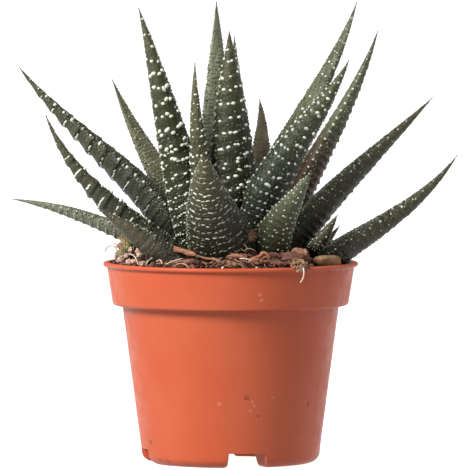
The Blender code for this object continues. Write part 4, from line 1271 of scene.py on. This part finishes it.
    def layer_spots(self, layer: WartLayer, leaf: Leaf, form: LeafForm,
                    dice: np.random.Generator) -> list[tuple]:
        """Each wart of a layer: its share, its turn and tilt in radians, its half sizes and its tone."""
        sides = [layer.turns]
        if layer.both_edges:
            sides.append((180 - layer.turns[1], 180 - layer.turns[0]))
        spots = []
        for share in self.bands(form.length, layer.pitch, layer.reach):
            half = float(np.interp(share, form.shares, form.half_width))
            crowded = self.gap(share)
            scale = crowded * min(1.0, 0.5 + half / 6.0)
            for first, last in sides:
                arc = half * math.radians(last - first)
                count = max(1, round(arc / (layer.spacing * crowded)))
                for step in range(count):
                    if dice.random() < layer.missing:
                        continue
                    place = step + 0.5 + dice.normal(0, layer.wander)
                    turn = math.radians(first + (last - first) * place / count)
                    lean = leaf.marking.value.slant * half * math.cos(turn)
                    stray = dice.normal(0, layer.wander) * layer.pitch * 0.4
                    where = min(max(share + (lean + stray) / form.length, self.share_limits[0]),
                                self.share_limits[1])
                    size = scale * dice.uniform(*self.size_range)
                    stretch = self.long_factor if dice.random() < self.long_chance else 1.0
                    length = layer.size[0] * size * stretch
                    sizes = (length, layer.size[1] * size, layer.size[2] * size)
                    tilt = math.radians(dice.normal(0, layer.tilt))
                    dim = 1 - 0.7 * leaf.marking.value.plain_base * float(smooth_step((0.62 - share) / 0.42))
                    tone = float(np.clip(dice.normal(layer.tone, layer.spread) * dim, 0.03, 1.0))
                    spots.append((where, turn, tilt, sizes, tone))
        return spots


@dataclass
class Pot:
    """The nursery pot: a thin moulded wall with a tall collar, a rolled lip and a notched foot ring."""

    height: float = 67.0
    rim_radius: float = 42.6
    collar_top_radius: float = 41.3
    collar_bottom_radius: float = 39.5
    collar_height: float = 14.4
    body_top_radius: float = 36.5
    body_bottom_radius: float = 29.8
    wall: float = 0.9
    lip_thickness: float = 1.5
    foot_round: float = 3.6
    foot_width: float = 8.0
    floor_height: float = 5.0
    hole_radius: float = 3.0
    drain_count: int = 6
    drain_radius: float = 2.4
    drain_circle: float = 12.0
    notch_count: int = 4
    notch_width: float = 13.0
    notch_turn: float = math.radians(-78.8)
    notch_corner: float = 2.4
    columns: int = 288
    drain_sides: int = 24
    drain_turn: float = 30.0
    drain_overcut: float = 1.5
    wall_shares: tuple[float, ...] = (0, 0.05, 0.12, 0.4, 0.7)

    def arc(self, centre: tuple[float, float], radius: float, start: float, end: float, steps: int) -> list:
        """Points on an arc of the outline, from one angle in degrees to another."""
        turns = [math.radians(start + (end - start) * step / steps) for step in range(steps + 1)]
        return [(centre[0] + radius * math.cos(t), centre[1] + radius * math.sin(t)) for t in turns]

    def outer_outline(self) -> list[tuple[float, float]]:
        """Radius and height on the outside, from the hole in the floor out and up to the lip."""
        flat_outer = self.body_bottom_radius - self.foot_round
        flat_inner = self.body_bottom_radius - self.foot_width
        shelf = self.height - self.collar_height
        lip = self.lip_thickness / 2
        foot = (self.body_bottom_radius + 0.12, self.floor_height)
        shoulder = self.arc((self.body_top_radius + 0.1, shelf - 0.9), 0.5, 180, 90, 3)
        wall = [[low + (high - low) * share for low, high in zip(foot, shoulder[0])]
                for share in self.wall_shares]
        return [
            (self.hole_radius, self.floor_height),
            (flat_inner - 2.0, self.floor_height),
            (flat_inner - 1.2, self.floor_height - 0.5),
            (flat_inner - 0.3, 0.3),
            (flat_inner, 0.0),
            *self.arc((flat_outer, self.foot_round), self.foot_round, -90, -8, 7),
            *wall,
            *shoulder,
            *self.arc((self.collar_bottom_radius - 1.1, shelf + 1.1), 1.1, -60, 0, 4),
            (self.collar_top_radius - 0.05, self.height - self.lip_thickness - 0.6),
            *self.arc((self.collar_top_radius + 0.45, self.height - self.lip_thickness - 0.5), 0.5, 180, 90,
                      3),
            *self.arc((self.rim_radius - lip, self.height - lip), lip, -80, 90, 8),
        ]

    def inner_outline(self) -> list[tuple[float, float]]:
        """Radius and height inside the pot, from the lip down and in to the hole in the floor."""
        shelf = self.height - self.collar_height
        flat_inner = self.body_bottom_radius - self.foot_width
        return [
            *self.arc((self.collar_top_radius - self.wall + 0.5, self.height - 0.5), 0.5, 90, 180, 3),
            (self.collar_bottom_radius - self.wall, shelf + 2.2),
            (self.body_top_radius - self.wall + 0.5, shelf + self.wall),
            (self.body_top_radius - self.wall, shelf),
            (self.body_bottom_radius - self.wall, self.floor_height),
            (self.body_bottom_radius - 2.2, 2.1),
            (self.body_bottom_radius - self.foot_round, self.wall),
            (flat_inner + 0.7, self.wall),
            (flat_inner - 0.5, self.floor_height + self.wall),
            (self.hole_radius, self.floor_height + self.wall),
        ]

    def wall_point(self, x: float, z: float) -> Point:
        """The point of the outer wall's front that stands at a side distance and a height."""
        shelf = self.height - self.collar_height
        if z > shelf:
            share = (z - shelf) / self.collar_height
            radius = self.collar_bottom_radius + (self.collar_top_radius - self.collar_bottom_radius) * share
        else:
            share = z / shelf
            radius = self.body_bottom_radius + (self.body_top_radius - self.body_bottom_radius) * share
        return (x, -math.sqrt(radius * radius - x * x), z)

    def build(self, lathe: GeometryTree) -> None:
        """Turns the wall on the lathe and settles it."""
        outer, inner = self.outer_outline(), self.inner_outline()
        outline = outer + inner
        loop = [(step, (step + 1) % len(outline)) for step in range(len(outline))]
        carrier = new_mesh_object("pot_outline", [(radius, 0.0, height) for radius, height in outline],
                                  loop, [])
        least = [self.floor_height] * len(outer) + [self.floor_height + self.wall] * len(inner)
        set_point_values(carrier, "turned_radius", np.array([radius for radius, _ in outline]) * MM)
        set_point_values(carrier, "turned_height", np.array([height for _, height in outline]) * MM)
        set_point_values(carrier, "least", np.array(least) * MM)
        scuffs = [((7.3, 22.4), 0.9), ((7.9, 21.0), 0.9), ((6.6, 19.4), 1.0), ((14.0, 23.9), 0.9),
                  ((10.1, 22.1), 0.7),
                  ((-3.9, 21.8), 1.2), ((25.0, 21.6), 0.9), ((9.6, 58.2), 1.0), ((10.2, 56.4), 1.0)]
        stains = [((5.2, 23.7), 1.3), ((9.1, 17.5), 1.1), ((6.2, 23.0), 0.7), ((26.0, 20.7), 1.4),
                  ((23.5, 11.4), 0.8),
                  ((-27.0, 7.9), 1.6), ((-26.0, 6.6), 0.9), ((-24.0, 1.6), 1.6), ((-21.0, 1.4), 1.6)]
        plastic = PotPlastic(
            "pot_clay_plastic",
            scuffs=tuple((self.wall_point(*place), radius) for place, radius in scuffs),
            stains=tuple((self.wall_point(*place), radius) for place, radius in stains),
        )
        piece = lathe.apply(
            carrier, "pot_wall", Columns=self.columns, Count=float(self.notch_count), Turn=self.notch_turn,
            Half=self.notch_width / 2 / self.body_bottom_radius, Foot=self.body_bottom_radius * MM,
            Corner=self.notch_corner * MM, Material=plastic.material(),
        )
        point_outwards(piece)
        self.drill(piece)
        shade_smooth(piece, 40.0)
        settle(piece, "pot_clay_plastic", "pot")

    def drill(self, piece: bpy.types.Object) -> None:
        """Cuts the ring of drain holes through the pot's floor."""
        work = bmesh.new()
        for number in range(self.drain_count):
            around = self.notch_turn + math.radians(self.drain_turn) + 2 * math.pi * number / self.drain_count
            x0, y0, _ = polar(self.drain_circle, around, 0.0)
            low = self.floor_height - self.drain_overcut
            high = self.floor_height + self.wall + self.drain_overcut
            turns = [2 * math.pi * step / self.drain_sides for step in range(self.drain_sides)]
            circle = [polar(self.drain_radius, turn, 0.0) for turn in turns]
            rings = [[(x0 + x, y0 + y, z) for x, y, _ in circle] for z in (low, high)]
            cutter = closed_tube("drain_cutter", np.array(rings), (x0, y0, low), (x0, y0, high))
            work.from_mesh(cutter.data)
            bpy.data.objects.remove(cutter)
        mesh = bpy.data.meshes.new("drain_cutters")
        work.to_mesh(mesh)
        work.free()
        cutters = into_scene("drain_cutters", mesh)
        modifier = piece.modifiers.new("drain_holes", "BOOLEAN")
        modifier.operation = "DIFFERENCE"
        modifier.solver = "EXACT"
        modifier.object = cutters
        piece.data = evaluated_mesh(piece)
        piece.modifiers.remove(modifier)
        bpy.data.objects.remove(cutters)


@dataclass(frozen=True)
class Crumbs:
    """One kind of crumb strewn on the soil: how many on a square metre, and their half sizes in metres."""

    name: str
    density: float
    smallest: Point
    largest: Point
    roughen: float
    detail: int
    finish: Earthy


@dataclass
class Soil:
    """The filling: a rough body of peat with crumbs of peat and bark strewn over its top."""

    ground: Ground
    rings: int = 46
    columns: int = 120
    first_seed: int = 3
    body_radii: tuple[tuple[float, float], ...] = ((28.3, 6.2), (35.0, 52.4), (38.0, 54.4))
    strewn: tuple[Crumbs, ...] = (
        Crumbs("bark_shreds", 110000.0, (0.0007, 0.0003, 0.0002), (0.0026, 0.0008, 0.0006), 0.0008, 2, BARK),
        Crumbs("red_shreds", 60000.0, (0.0008, 0.0003, 0.0002), (0.0024, 0.0006, 0.0005), 0.0006, 2, TWIG),
        Crumbs("peat_crumbs", 420000.0, (0.0004, 0.0003, 0.0003), (0.0013, 0.001, 0.0008), 0.0007, 1, PEAT),
        Crumbs("peat_dust", 500000.0, (0.0002, 0.0002, 0.0002), (0.0006, 0.0005, 0.0004), 0.0003, 1, PEAT),
        Crumbs("pale_grit", 14000.0, (0.0004, 0.0004, 0.0003), (0.001, 0.0008, 0.0007), 0.0004, 2, PEBBLE),
    )

    def build(self, crumbs: GeometryTree) -> None:
        """Builds the body of peat and the crumbs on it.

        Args:
            crumbs: the tree that strews crumbs over a surface.
        """
        top = self.top_rings()
        lower = [
            [polar(radius, 2 * math.pi * column / self.columns, height) for column in range(self.columns)]
            for radius, height in self.body_radii
        ]
        centre = (0.0, 0.0, self.ground.height(0.0, 0.0))
        body = closed_tube("soil_body", np.array(lower + top), (0.0, 0.0, self.body_radii[0][1]), centre)
        body.data.materials.append(PEAT.material())
        settle(body, PEAT.slot, "soil")
        for seed, kind in enumerate(self.strewn):
            points = [point for ring in top for point in ring]
            carrier = new_mesh_object("soil_top", points, [], ring_faces(self.rings, self.columns))
            piece = crumbs.apply(
                carrier, f"soil_{kind.name}", Density=kind.density, Seed=seed + self.first_seed,
                Smallest=kind.smallest, Largest=kind.largest, Roughen=kind.roughen, Detail=kind.detail,
                Material=kind.finish.material(),
            )
            settle(piece, kind.finish.slot)

    def top_rings(self) -> list[list[Point]]:
        """The rings of points of the soil's top, from the wall inwards."""
        made = []
        for ring in range(self.rings):
            radius = self.ground.wall_radius * (1 - ring / self.rings)
            spots = [polar(radius, 2 * math.pi * column / self.columns, 0.0)
                     for column in range(self.columns)]
            made.append([(x, y, self.ground.height(x, y)) for x, y, _ in spots])
        return made


@dataclass(frozen=True)
class Lump:
    """A loose lump on the soil: its middle, its length, width and height, and its turn in degrees."""

    name: str
    place: Point
    size: Point
    turn: float
    finish: Earthy
    rough: float
    waves: float
    tone: float = 0.35
    blunt: float = 1.0


@dataclass(frozen=True)
class Line:
    """A root or twig: the points that it passes through, its end radii in millimetres and its tone."""

    points: tuple[Point, ...]
    radii: tuple[float, float]
    tone: float = 0.3
    knobs: float = 0.1


def pebble(name: str, place: Point, size: Point, turn: float) -> Lump:
    """A rough grain of pink grit."""
    return Lump(name, place, size, turn, PEBBLE, 0.4, 1.0)


LUMPS: tuple[Lump, ...] = (
    Lump("bark_chip", (20.5, -27.0, 69.7), (12.0, 4.6, 3.8), 8, BARK, 0.36, 0.62),
    Lump("husk_chip", (32.2, -19.6, 68.2), (11.0, 3.4, 3.8), 42, HUSK_PALE, 0.16, 0.3, 0.3, 0.55),
    Lump("root_tangle", (22.6, -34.2, 67.9), (4.6, 2.8, 2.8), -12, ROOT_TAN, 0.34, 0.6),
    pebble("pebble_left", (-36.5, -10.5, 68.0), (3.0, 2.4, 2.4), 40),
    pebble("pebble_middle", (-33.6, -17.0, 67.7), (2.6, 2.2, 2.2), -15),
    pebble("pebble_right", (-29.2, -24.0, 67.4), (2.6, 2.0, 2.0), 70),
    Lump("bark_crumb", (-13.0, -31.5, 68.4), (5.6, 3.0, 2.6), 15, BARK, 0.24, 0.5),
)
EXTRA_LUMPS: tuple[Lump, ...] = (
    pebble("grit_far_left", (-37.6, -4.0, 68.6), (2.4, 1.8, 1.9), 10),
    pebble("grit_upper_left", (-34.6, -13.0, 69.6), (2.2, 1.8, 1.8), 60),
    pebble("grit_upper_right", (-30.0, -18.5, 70.1), (2.2, 1.9, 1.8), 20),
    pebble("grit_top", (-33.0, -9.6, 71.4), (2.4, 1.8, 2.0), 50),
    pebble("grit_inner", (-30.4, -13.2, 71.2), (2.6, 2.0, 2.2), -30),
    pebble("grit_low", (-32.2, -20.6, 68.2), (1.9, 1.6, 1.5), 20),
    Lump("moss_mound", (-33.6, -5.2, 71.0), (7.6, 6.0, 6.8), 20, MOSS, 0.3, 0.5),
    Lump("moss_cushion", (-36.4, -8.0, 69.6), (4.6, 3.6, 3.4), -30, MOSS, 0.34, 0.7),
    Lump("bark_top", (22.6, -26.4, 71.2), (5.6, 3.2, 3.4), -20, HUSK_BARK, 0.4, 0.8),
    Lump("bark_left", (13.5, -29.5, 70.6), (6.0, 2.6, 2.2), 12, BARK, 0.26, 0.5),
    Lump("bark_flake", (2.0, -33.0, 70.6), (7.0, 2.4, 1.8), -6, TWIG, 0.34, 0.8),
    Lump("bark_splinter", (16.5, -34.0, 68.2), (6.0, 1.8, 1.4), 10, BARK, 0.24, 0.5),
    Lump("dry_bud", (6.7, -29.4, 77.2), (3.4, 3.0, 3.8), 0, MOSS_RED, 0.5, 1.2),
    Lump("perlite_bit", (-2.6, -39.4, 67.1), (1.1, 0.9, 0.9), 0, ROOT_PALE, 0.1, 0.9),
)

TWIG_LINES: tuple[Line, ...] = (
    Line(((-18.4, -23.5, 72.3), (-15.9, -25.6, 72.0), (-13.4, -27.6, 71.2), (-10.9, -29.3, 70.9), (-8.4,
        -31.1, 70.1), (-5.7, -32.6, 69.7), (-3.2, -34.2, 68.8)), (1.0, 0.55), 0.4, 0.24),
)
CURL_LINES: tuple[Line, ...] = (
    Line(((5.8, -35.4, 67.7), (6.6, -35.0, 69.0), (8.2, -33.4, 69.8), (9.6, -32.4, 70.6), (10.6, -32.0,
        71.6), (12.0, -31.8, 71.2), (12.6, -31.4, 70.0)), (0.78, 0.62), 0.5, 0.3),
    Line(((6.6, -35.6, 67.9), (7.6, -35.0, 68.8), (8.8, -34.2, 69.2), (10.4, -33.2, 69.6), (11.6, -33.0,
        70.4), (12.6, -32.6, 69.6)), (0.55, 0.4), 0.1, 0.3),
    Line(((7.4, -34.0, 68.2), (8.8, -33.0, 68.0), (10.4, -32.8, 68.4)), (0.6, 0.4), 0.2, 0.3),
)
RIM_ROOT: tuple[Line, ...] = (
    Line(((23.5, -36.0, 67.9), (23.9, -37.3, 67.4), (24.1, -37.9, 65.4), (23.8, -37.6, 63.6), (22.9, -37.9,
        62.2)), (0.28, 0.18), 1.0, 0.06),
)
PALE_ROOTS: tuple[Line, ...] = (
    Line(((-33.6, -20.0, 70.6), (-32.4, -21.6, 70.4), (-31.4, -23.6, 69.4), (-30.6, -25.3, 67.4)),
        (0.29, 0.19), 0.3),
    Line(((-26.0, -26.6, 69.6), (-27.2, -28.0, 68.8), (-28.1, -28.4, 67.4)), (0.31, 0.19), 0.3),
    Line(((-21.4, -31.0, 67.8), (-18.8, -31.4, 68.9), (-16.0, -31.2, 69.8)), (0.24, 0.15), 0.4),
    Line(((-24.4, -29.0, 68.6), (-23.2, -30.0, 69.2), (-22.6, -30.8, 68.0)), (0.27, 0.19), 0.2),
    Line(((-41.8, -2.0, 70.4), (-41.2, -2.4, 72.0), (-39.0, -3.0, 72.4), (-37.6, -4.0, 70.2)), (0.17, 0.2),
        -0.2),
    Line(((-6.4, -31.0, 73.0), (-4.8, -31.4, 72.9), (-3.7, -32.0, 71.6), (-3.5, -32.6, 70.2)), (0.17, 0.37),
        0.4),
    Line(((-3.4, -31.4, 72.4), (-1.4, -31.6, 73.6), (0.4, -31.6, 73.0)), (0.18, 0.11), 0.1),
    Line(((3.0, -31.0, 74.0), (4.4, -31.6, 74.4), (5.4, -31.8, 73.2), (4.4, -32.4, 72.4), (3.4, -32.2,
        73.2)), (0.22, 0.15), -0.9),
    Line(((5.2, -31.8, 73.0), (6.8, -32.0, 73.0), (8.2, -31.6, 72.2)), (0.22, 0.16), -0.7),
    Line(((3.0, -35.0, 69.9), (5.0, -35.4, 69.9), (6.6, -35.6, 69.3)), (0.27, 0.19), 0.4),
)


@dataclass
class Litter:
    """What lies on the soil: chips, grit, a twig, a curl of bark, roots and a tuft of moss."""

    ground: Ground
    sides: int = 36
    rows: int = 22
    rim: float = 38.6
    fibre_count: int = 210
    fibre_inner: float = 17.0
    fibre_limit: float = 39.4
    fibre_lift: float = 0.35
    fibre_seed: int = 5
    strip_count: int = 260
    strip_seed: int = 8
    strip_inner: float = 25.0
    strip_limit: float = 39.2
    strip_front: tuple[float, float] = (-1.45, 0.36)
    sprout_count: int = 360
    sprout_seed: int = 21
    sprout_centre: Point = (-33.6, -5.2, 71.0)
    sprout_spread: Point = (3.2, 2.5, 2.7)
    sprout_lengths: tuple[float, float] = (0.9, 2.7)
    tangle_count: int = 26
    tangle_seed: int = 9
    tangle_centre: Point = (22.9, -36.6, 67.5)
    tangle_spread: Point = (1.5, 0.4, 0.55)

    def build(self, strands: GeometryTree) -> None:
        """Builds each kind of litter.

        Args:
            strands: the tree that turns lines into tubes.
        """
        for lump in LUMPS:
            settle(self.lump(lump), lump.finish.slot, lump.name)
        for lump in EXTRA_LUMPS:
            settle(self.lump(lump), lump.finish.slot)
        rows = (
            ("twig_piece", TWIG_LINES, TWIG, 10, "twig"),
            ("curl_piece", CURL_LINES, HUSK, 12, "bark_curl"),
            ("rim_root_piece", RIM_ROOT, ROOT_PALE, 10, "root_over_rim"),
            ("pale_roots", PALE_ROOTS, ROOT_PALE, 8),
            ("fibres", self.fibre_lines(), FIBRE, 5),
            ("bark_strips", self.strip_lines(), STRIP, 6),
            ("tangle_curls", self.tangle_lines(), ROOT_TAN, 8),
            ("moss_shoots", self.sprout_lines(), SPROUT, 5, "moss_tuft"),
        )
        for name, lines, finish, sides, *nodes in rows:
            settle(self.tubes(strands, name, lines, finish, sides), finish.slot, *nodes)

    def lump(self, lump: Lump) -> bpy.types.Object:
        """A rough closed lump that rests in the soil, with its sizes and place from its row."""
        turn = math.radians(lump.turn)
        x0, y0, z0 = lump.place
        length, width, height = (size / 2 for size in lump.size)
        rings = []
        for row in range(1, self.rows):
            tilt = math.pi * (row / self.rows - 0.5)
            ring = []
            for side in range(self.sides):
                x, y, z = polar(math.cos(tilt), 2 * math.pi * side / self.sides, math.sin(tilt))
                swell = self.roughness(lump, x, y, z)
                x, y, z = (math.copysign(abs(c) ** lump.blunt, c) for c in (x, y, z))
                x, y = length * swell * x, width * swell * y
                across = (x * math.cos(turn) - y * math.sin(turn), x * math.sin(turn) + y * math.cos(turn))
                ring.append((x0 + across[0], y0 + across[1], z0 + height * swell * z))
            rings.append(ring)
        made = closed_tube(f"{lump.name}_piece", np.array(rings), (x0, y0, z0 - height),
                           (x0, y0, z0 + height))
        made.data.materials.append(lump.finish.material())
        set_point_values(made, "tone", np.full(len(made.data.vertices), lump.tone))
        return made

    def roughness(self, lump: Lump, x: float, y: float, z: float) -> float:
        """How far a lump's surface stands out in a direction, about 1."""
        scaled = Vector((x * lump.size[0], y * lump.size[1], z * lump.size[2])) * lump.waves
        return 1 + lump.rough * noise.fractal(scaled + Vector((lump.place[0], 0.0, 5.0)), 0.8, 2.1, 5)

    def tubes(self, strands: GeometryTree, name: str, lines: Iterable[Line], finish: Earthy, sides: int):
        """One piece of smooth tubes that follow lines."""
        points, edges, thick, tone = [], [], [], []
        dice = np.random.default_rng(len(name))
        for line in lines:
            count = len(line.points)
            edges += [(len(points) + step, len(points) + step + 1) for step in range(count - 1)]
            points += line.points
            shares = np.linspace(0.0, 1.0, count)
            radii = line.radii[0] + (line.radii[1] - line.radii[0]) * shares
            thick += list(radii * (1 + line.knobs * dice.uniform(-1, 1, count)) * MM)
            tone += [line.tone] * count
        carrier = new_mesh_object(name, points, edges, [])
        set_point_values(carrier, "thick", np.array(thick))
        set_point_values(carrier, "tone", np.array(tone))
        return strands.apply(carrier, name, Sides=sides, Material=finish.material())

    def walk(self, start: Point, way: float, bend: float, step: float, lifts: Sequence[float],
             limit: float) -> tuple:
        """The places of a strand that wanders over the soil, apart from those outside the pot.

        Args:
            start: where it starts.
            way: the way that it sets out, in radians.
            bend: how much it turns at each step.
            step: how long its steps are.
            lifts: how far each of its points lies over the soil.
            limit: the radius beyond which its points are left out.

        Returns:
            Its points.
        """
        x, y, _ = start
        points = []
        for lift in lifts:
            if math.hypot(x, y) < limit:
                points.append((x, y, self.ground.height(x, y) + lift))
            x, y = x + step * math.cos(way), y + step * math.sin(way)
            way += bend
        return tuple(points)

    def fibre_lines(self) -> list[Line]:
        """Loose root fibres that lie all over the soil."""
        dice = np.random.default_rng(self.fibre_seed)
        lines = []
        for _ in range(self.fibre_count):
            start = polar(dice.uniform(self.fibre_inner, self.rim), dice.uniform(0, 2 * math.pi), 0.0)
            way, bend = dice.uniform(0, 2 * math.pi), dice.normal(0, 0.5)
            step, arch = dice.uniform(1.0, 3.0), dice.uniform(0.1, 1.3)
            lifts = [self.fibre_lift + arch * math.sin(math.pi * number / 3) for number in range(4)]
            points = self.walk(start, way, bend, step, lifts, self.fibre_limit)
            thick = dice.uniform(0.1, 0.34)
            if len(points) > 1:
                lines.append(Line(points, (thick, thick * 0.6), float(dice.uniform(-0.8, 1.2))))
        return lines

    def strip_lines(self) -> list[Line]:
        """Shredded bark: short knobbly strips that lie across one another, thickest at the front."""
        dice = np.random.default_rng(self.strip_seed)
        lines = []
        for number in range(self.strip_count):
            front = number % 2 == 0
            around = dice.normal(*self.strip_front) if front else dice.uniform(0, 2 * math.pi)
            start = polar(dice.uniform(self.strip_inner, self.rim), around, 0.0)
            way, bend = around + math.pi / 2 + dice.normal(0, 0.45), dice.normal(0, 0.35)
            step, lift, arch = dice.uniform(0.8, 2.2), dice.uniform(0.1, 0.7), dice.uniform(0.0, 0.7)
            lifts = [lift + arch * math.sin(math.pi * index / 4) for index in range(5)]
            points = self.walk(start, way, bend, step, lifts, self.strip_limit)
            thick = dice.uniform(0.16, 0.52)
            if len(points) > 2:
                lines.append(Line(points, (thick, thick * 0.5), float(dice.uniform(-1.0, 1.0)), 0.4))
        return lines

    def tangle_lines(self) -> list[Line]:
        """The knot of curled root ends that hangs over the pot's lip."""
        dice = np.random.default_rng(self.tangle_seed)
        lines = []
        for _ in range(self.tangle_count):
            x0, y0, z0 = (c + dice.normal(0, s) for c, s in zip(self.tangle_centre, self.tangle_spread))
            size, start, lean = dice.uniform(0.4, 1.0), dice.uniform(0, 6.3), dice.uniform(-0.7, 0.7)
            turns = [start + 1.3 * index for index in range(4)]
            curl = [(size * math.cos(turn), size * math.sin(turn)) for turn in turns]
            points = tuple((x0 + side, y0 + lean * rise, z0 + rise) for side, rise in curl)
            lines.append(Line(points, (0.34, 0.24), float(dice.uniform(-0.4, 0.9)), 0.3))
        return lines

    def sprout_lines(self) -> list[Line]:
        """The shoots of moss and weed at the left, red and yellow outside and green within."""
        dice = np.random.default_rng(self.sprout_seed)
        lines = []
        for _ in range(self.sprout_count):
            lift, around = dice.uniform(0.0, math.pi / 2), dice.uniform(0, 2 * math.pi)
            way = polar(math.cos(lift), around, math.sin(lift))
            x, y, z = (c + w * s for c, w, s in zip(self.sprout_centre, way, self.sprout_spread))
            lean_x, lean_y = way[0] * 0.5 + dice.normal(0, 0.3), way[1] * 0.5 + dice.normal(0, 0.3)
            length = dice.uniform(*self.sprout_lengths) * (1 - 0.1 * abs(x - self.sprout_centre[0]))
            bend = dice.normal(0, 0.22)
            points = []
            for index in range(4):
                rise = length * index / 3
                points.append((x + rise * (lean_x + bend * index), y + rise * lean_y, z + rise))
            tone = float(np.clip((x - self.sprout_centre[0]) / 5 + 0.56 + dice.normal(0, 0.25), 0, 1))
            thick = dice.uniform(0.26, 0.62)
            lines.append(Line(tuple(points), (thick, 0.08), tone, 0.2))
        return lines


@dataclass
class StemDome:
    """A short stem: the scarred dome that a rosette's leaves grow from."""

    stem: Stem
    rings: int = 26
    columns: int = 40
    foot_rings: int = 6
    scar: float = 0.035
    scar_lobes: int = 5
    scar_turn: float = 2.4

    def build(self, skin: bpy.types.Material) -> None:
        """Builds the dome and settles it."""
        x0, y0, z0 = self.stem.centre
        wide, deep, high = self.stem.radii
        rings = []
        for row in range(self.rings):
            tilt = math.pi / 2 * (row - self.foot_rings) / (self.rings - self.foot_rings)
            sunk = (z0 - self.stem.foot_height) * (self.foot_rings - row) / self.foot_rings
            level = z0 + high * math.sin(tilt) if row > self.foot_rings else z0 - sunk
            reach = math.cos(max(tilt, 0.0))
            ring = []
            for column in range(self.columns):
                around = 2 * math.pi * column / self.columns
                swell = 1 + self.scar * math.sin(self.scar_lobes * around + self.scar_turn * row)
                x, y, _ = polar(reach * swell, around, 0.0)
                ring.append((x0 + wide * x, y0 + deep * y, level))
            rings.append(ring)
        foot, top = (x0, y0, self.stem.foot_height), (x0, y0, z0 + high)
        made = closed_tube(f"{self.stem.name}_dome", np.array(rings), foot, top)
        made.data.materials.append(skin)
        for name in ("share", "inner", "under", "crest"):
            set_point_values(made, name, np.full(len(made.data.vertices), 0.3))
        settle(made, "stem_skin", self.stem.name)


@dataclass(frozen=True)
class Lamp:
    """A soft square light: bearing left of the camera and rise in degrees, distance and size in metres."""

    name: str
    bearing: float
    rise: float
    distance: float
    size: float
    watts: float


@dataclass
class Studio:
    """A plain pale floor, soft light from the left and the photograph's camera. Distances are in metres."""

    floor_half: float = 24.0
    camera_place: Point = (0.00144, -2.4, 0.201)
    camera_aim: Point = (0.00144, 0.0, 0.0759)
    lens: float = 551.0
    sensor: float = 36.0
    world_strength: float = 0.46
    light_aim: Point = (0.0, 0.0, 0.08)
    lamps: tuple[Lamp, ...] = (
        Lamp("key_light", 51.0, 34.0, 1.8, 0.7, 51.0),
        Lamp("rim_light", -118.0, 28.0, 1.8, 1.0, 9.0),
    )

    def build(self) -> None:
        """Lays the floor, which spills no light on the plant, hangs the lights and sets the camera."""
        half = self.floor_half / MM
        corners = [(-half, -half, 0.0), (half, -half, 0.0), (half, half, 0.0), (-half, half, 0.0)]
        floor = new_mesh_object("floor", corners, [], [(0, 1, 2, 3)])
        floor.data.materials.append(FloorPaper("floor_paper").material())
        floor.visible_diffuse = False
        for lamp in self.lamps:
            self.hang(lamp)
        self.set_world()
        self.set_camera()

    def hang(self, lamp: Lamp) -> None:
        """Hangs one light that shines on the plant."""
        light = bpy.data.lights.new(lamp.name, "AREA")
        light.size = lamp.size
        light.energy = lamp.watts
        made = into_scene(lamp.name, light)
        bearing, rise = math.radians(lamp.bearing), math.radians(lamp.rise)
        way = Vector((-math.sin(bearing) * math.cos(rise), -math.cos(bearing) * math.cos(rise),
                      math.sin(rise)))
        made.location = Vector(self.light_aim) + way * lamp.distance
        made.rotation_euler = way.to_track_quat("Z", "Y").to_euler()

    def set_world(self) -> None:
        """Surrounds the scene with plain white."""
        world = bpy.data.worlds.new("studio_white")
        world.use_nodes = True
        background = world.node_tree.nodes["Background"]
        background.inputs["Color"].default_value = (1.0, 1.0, 1.0, 1.0)
        background.inputs["Strength"].default_value = self.world_strength
        bpy.context.scene.world = world
        bpy.context.scene.view_settings.view_transform = "Standard"

    def set_camera(self) -> None:
        """Puts the camera where the photograph's was."""
        lens = bpy.data.cameras.new("photo_camera")
        lens.lens = self.lens
        lens.sensor_width = self.sensor
        camera = into_scene("photo_camera", lens)
        camera.location = self.camera_place
        aim = Vector(self.camera_aim) - Vector(self.camera_place)
        camera.rotation_euler = aim.to_track_quat("-Z", "Y").to_euler()
        bpy.context.scene.camera = camera


def main() -> None:
    """Builds the studio and each part of the potted plant, in order."""
    logging.basicConfig(level=logging.INFO, format="%(message)s")
    Studio().build()
    ground = Ground()
    Pot().build(lathe_tree())
    Soil(ground).build(crumb_tree())
    stem_skin = LeafSkin("stem_green", base_reach=0.1).material()
    for stem in (MAIN_STEM, OFFSET_STEM):
        StemDome(stem).build(stem_skin)
    Rosette().build(wart_tree())
    Litter(ground).build(strand_tree())


if __name__ == "__main__":
    main()
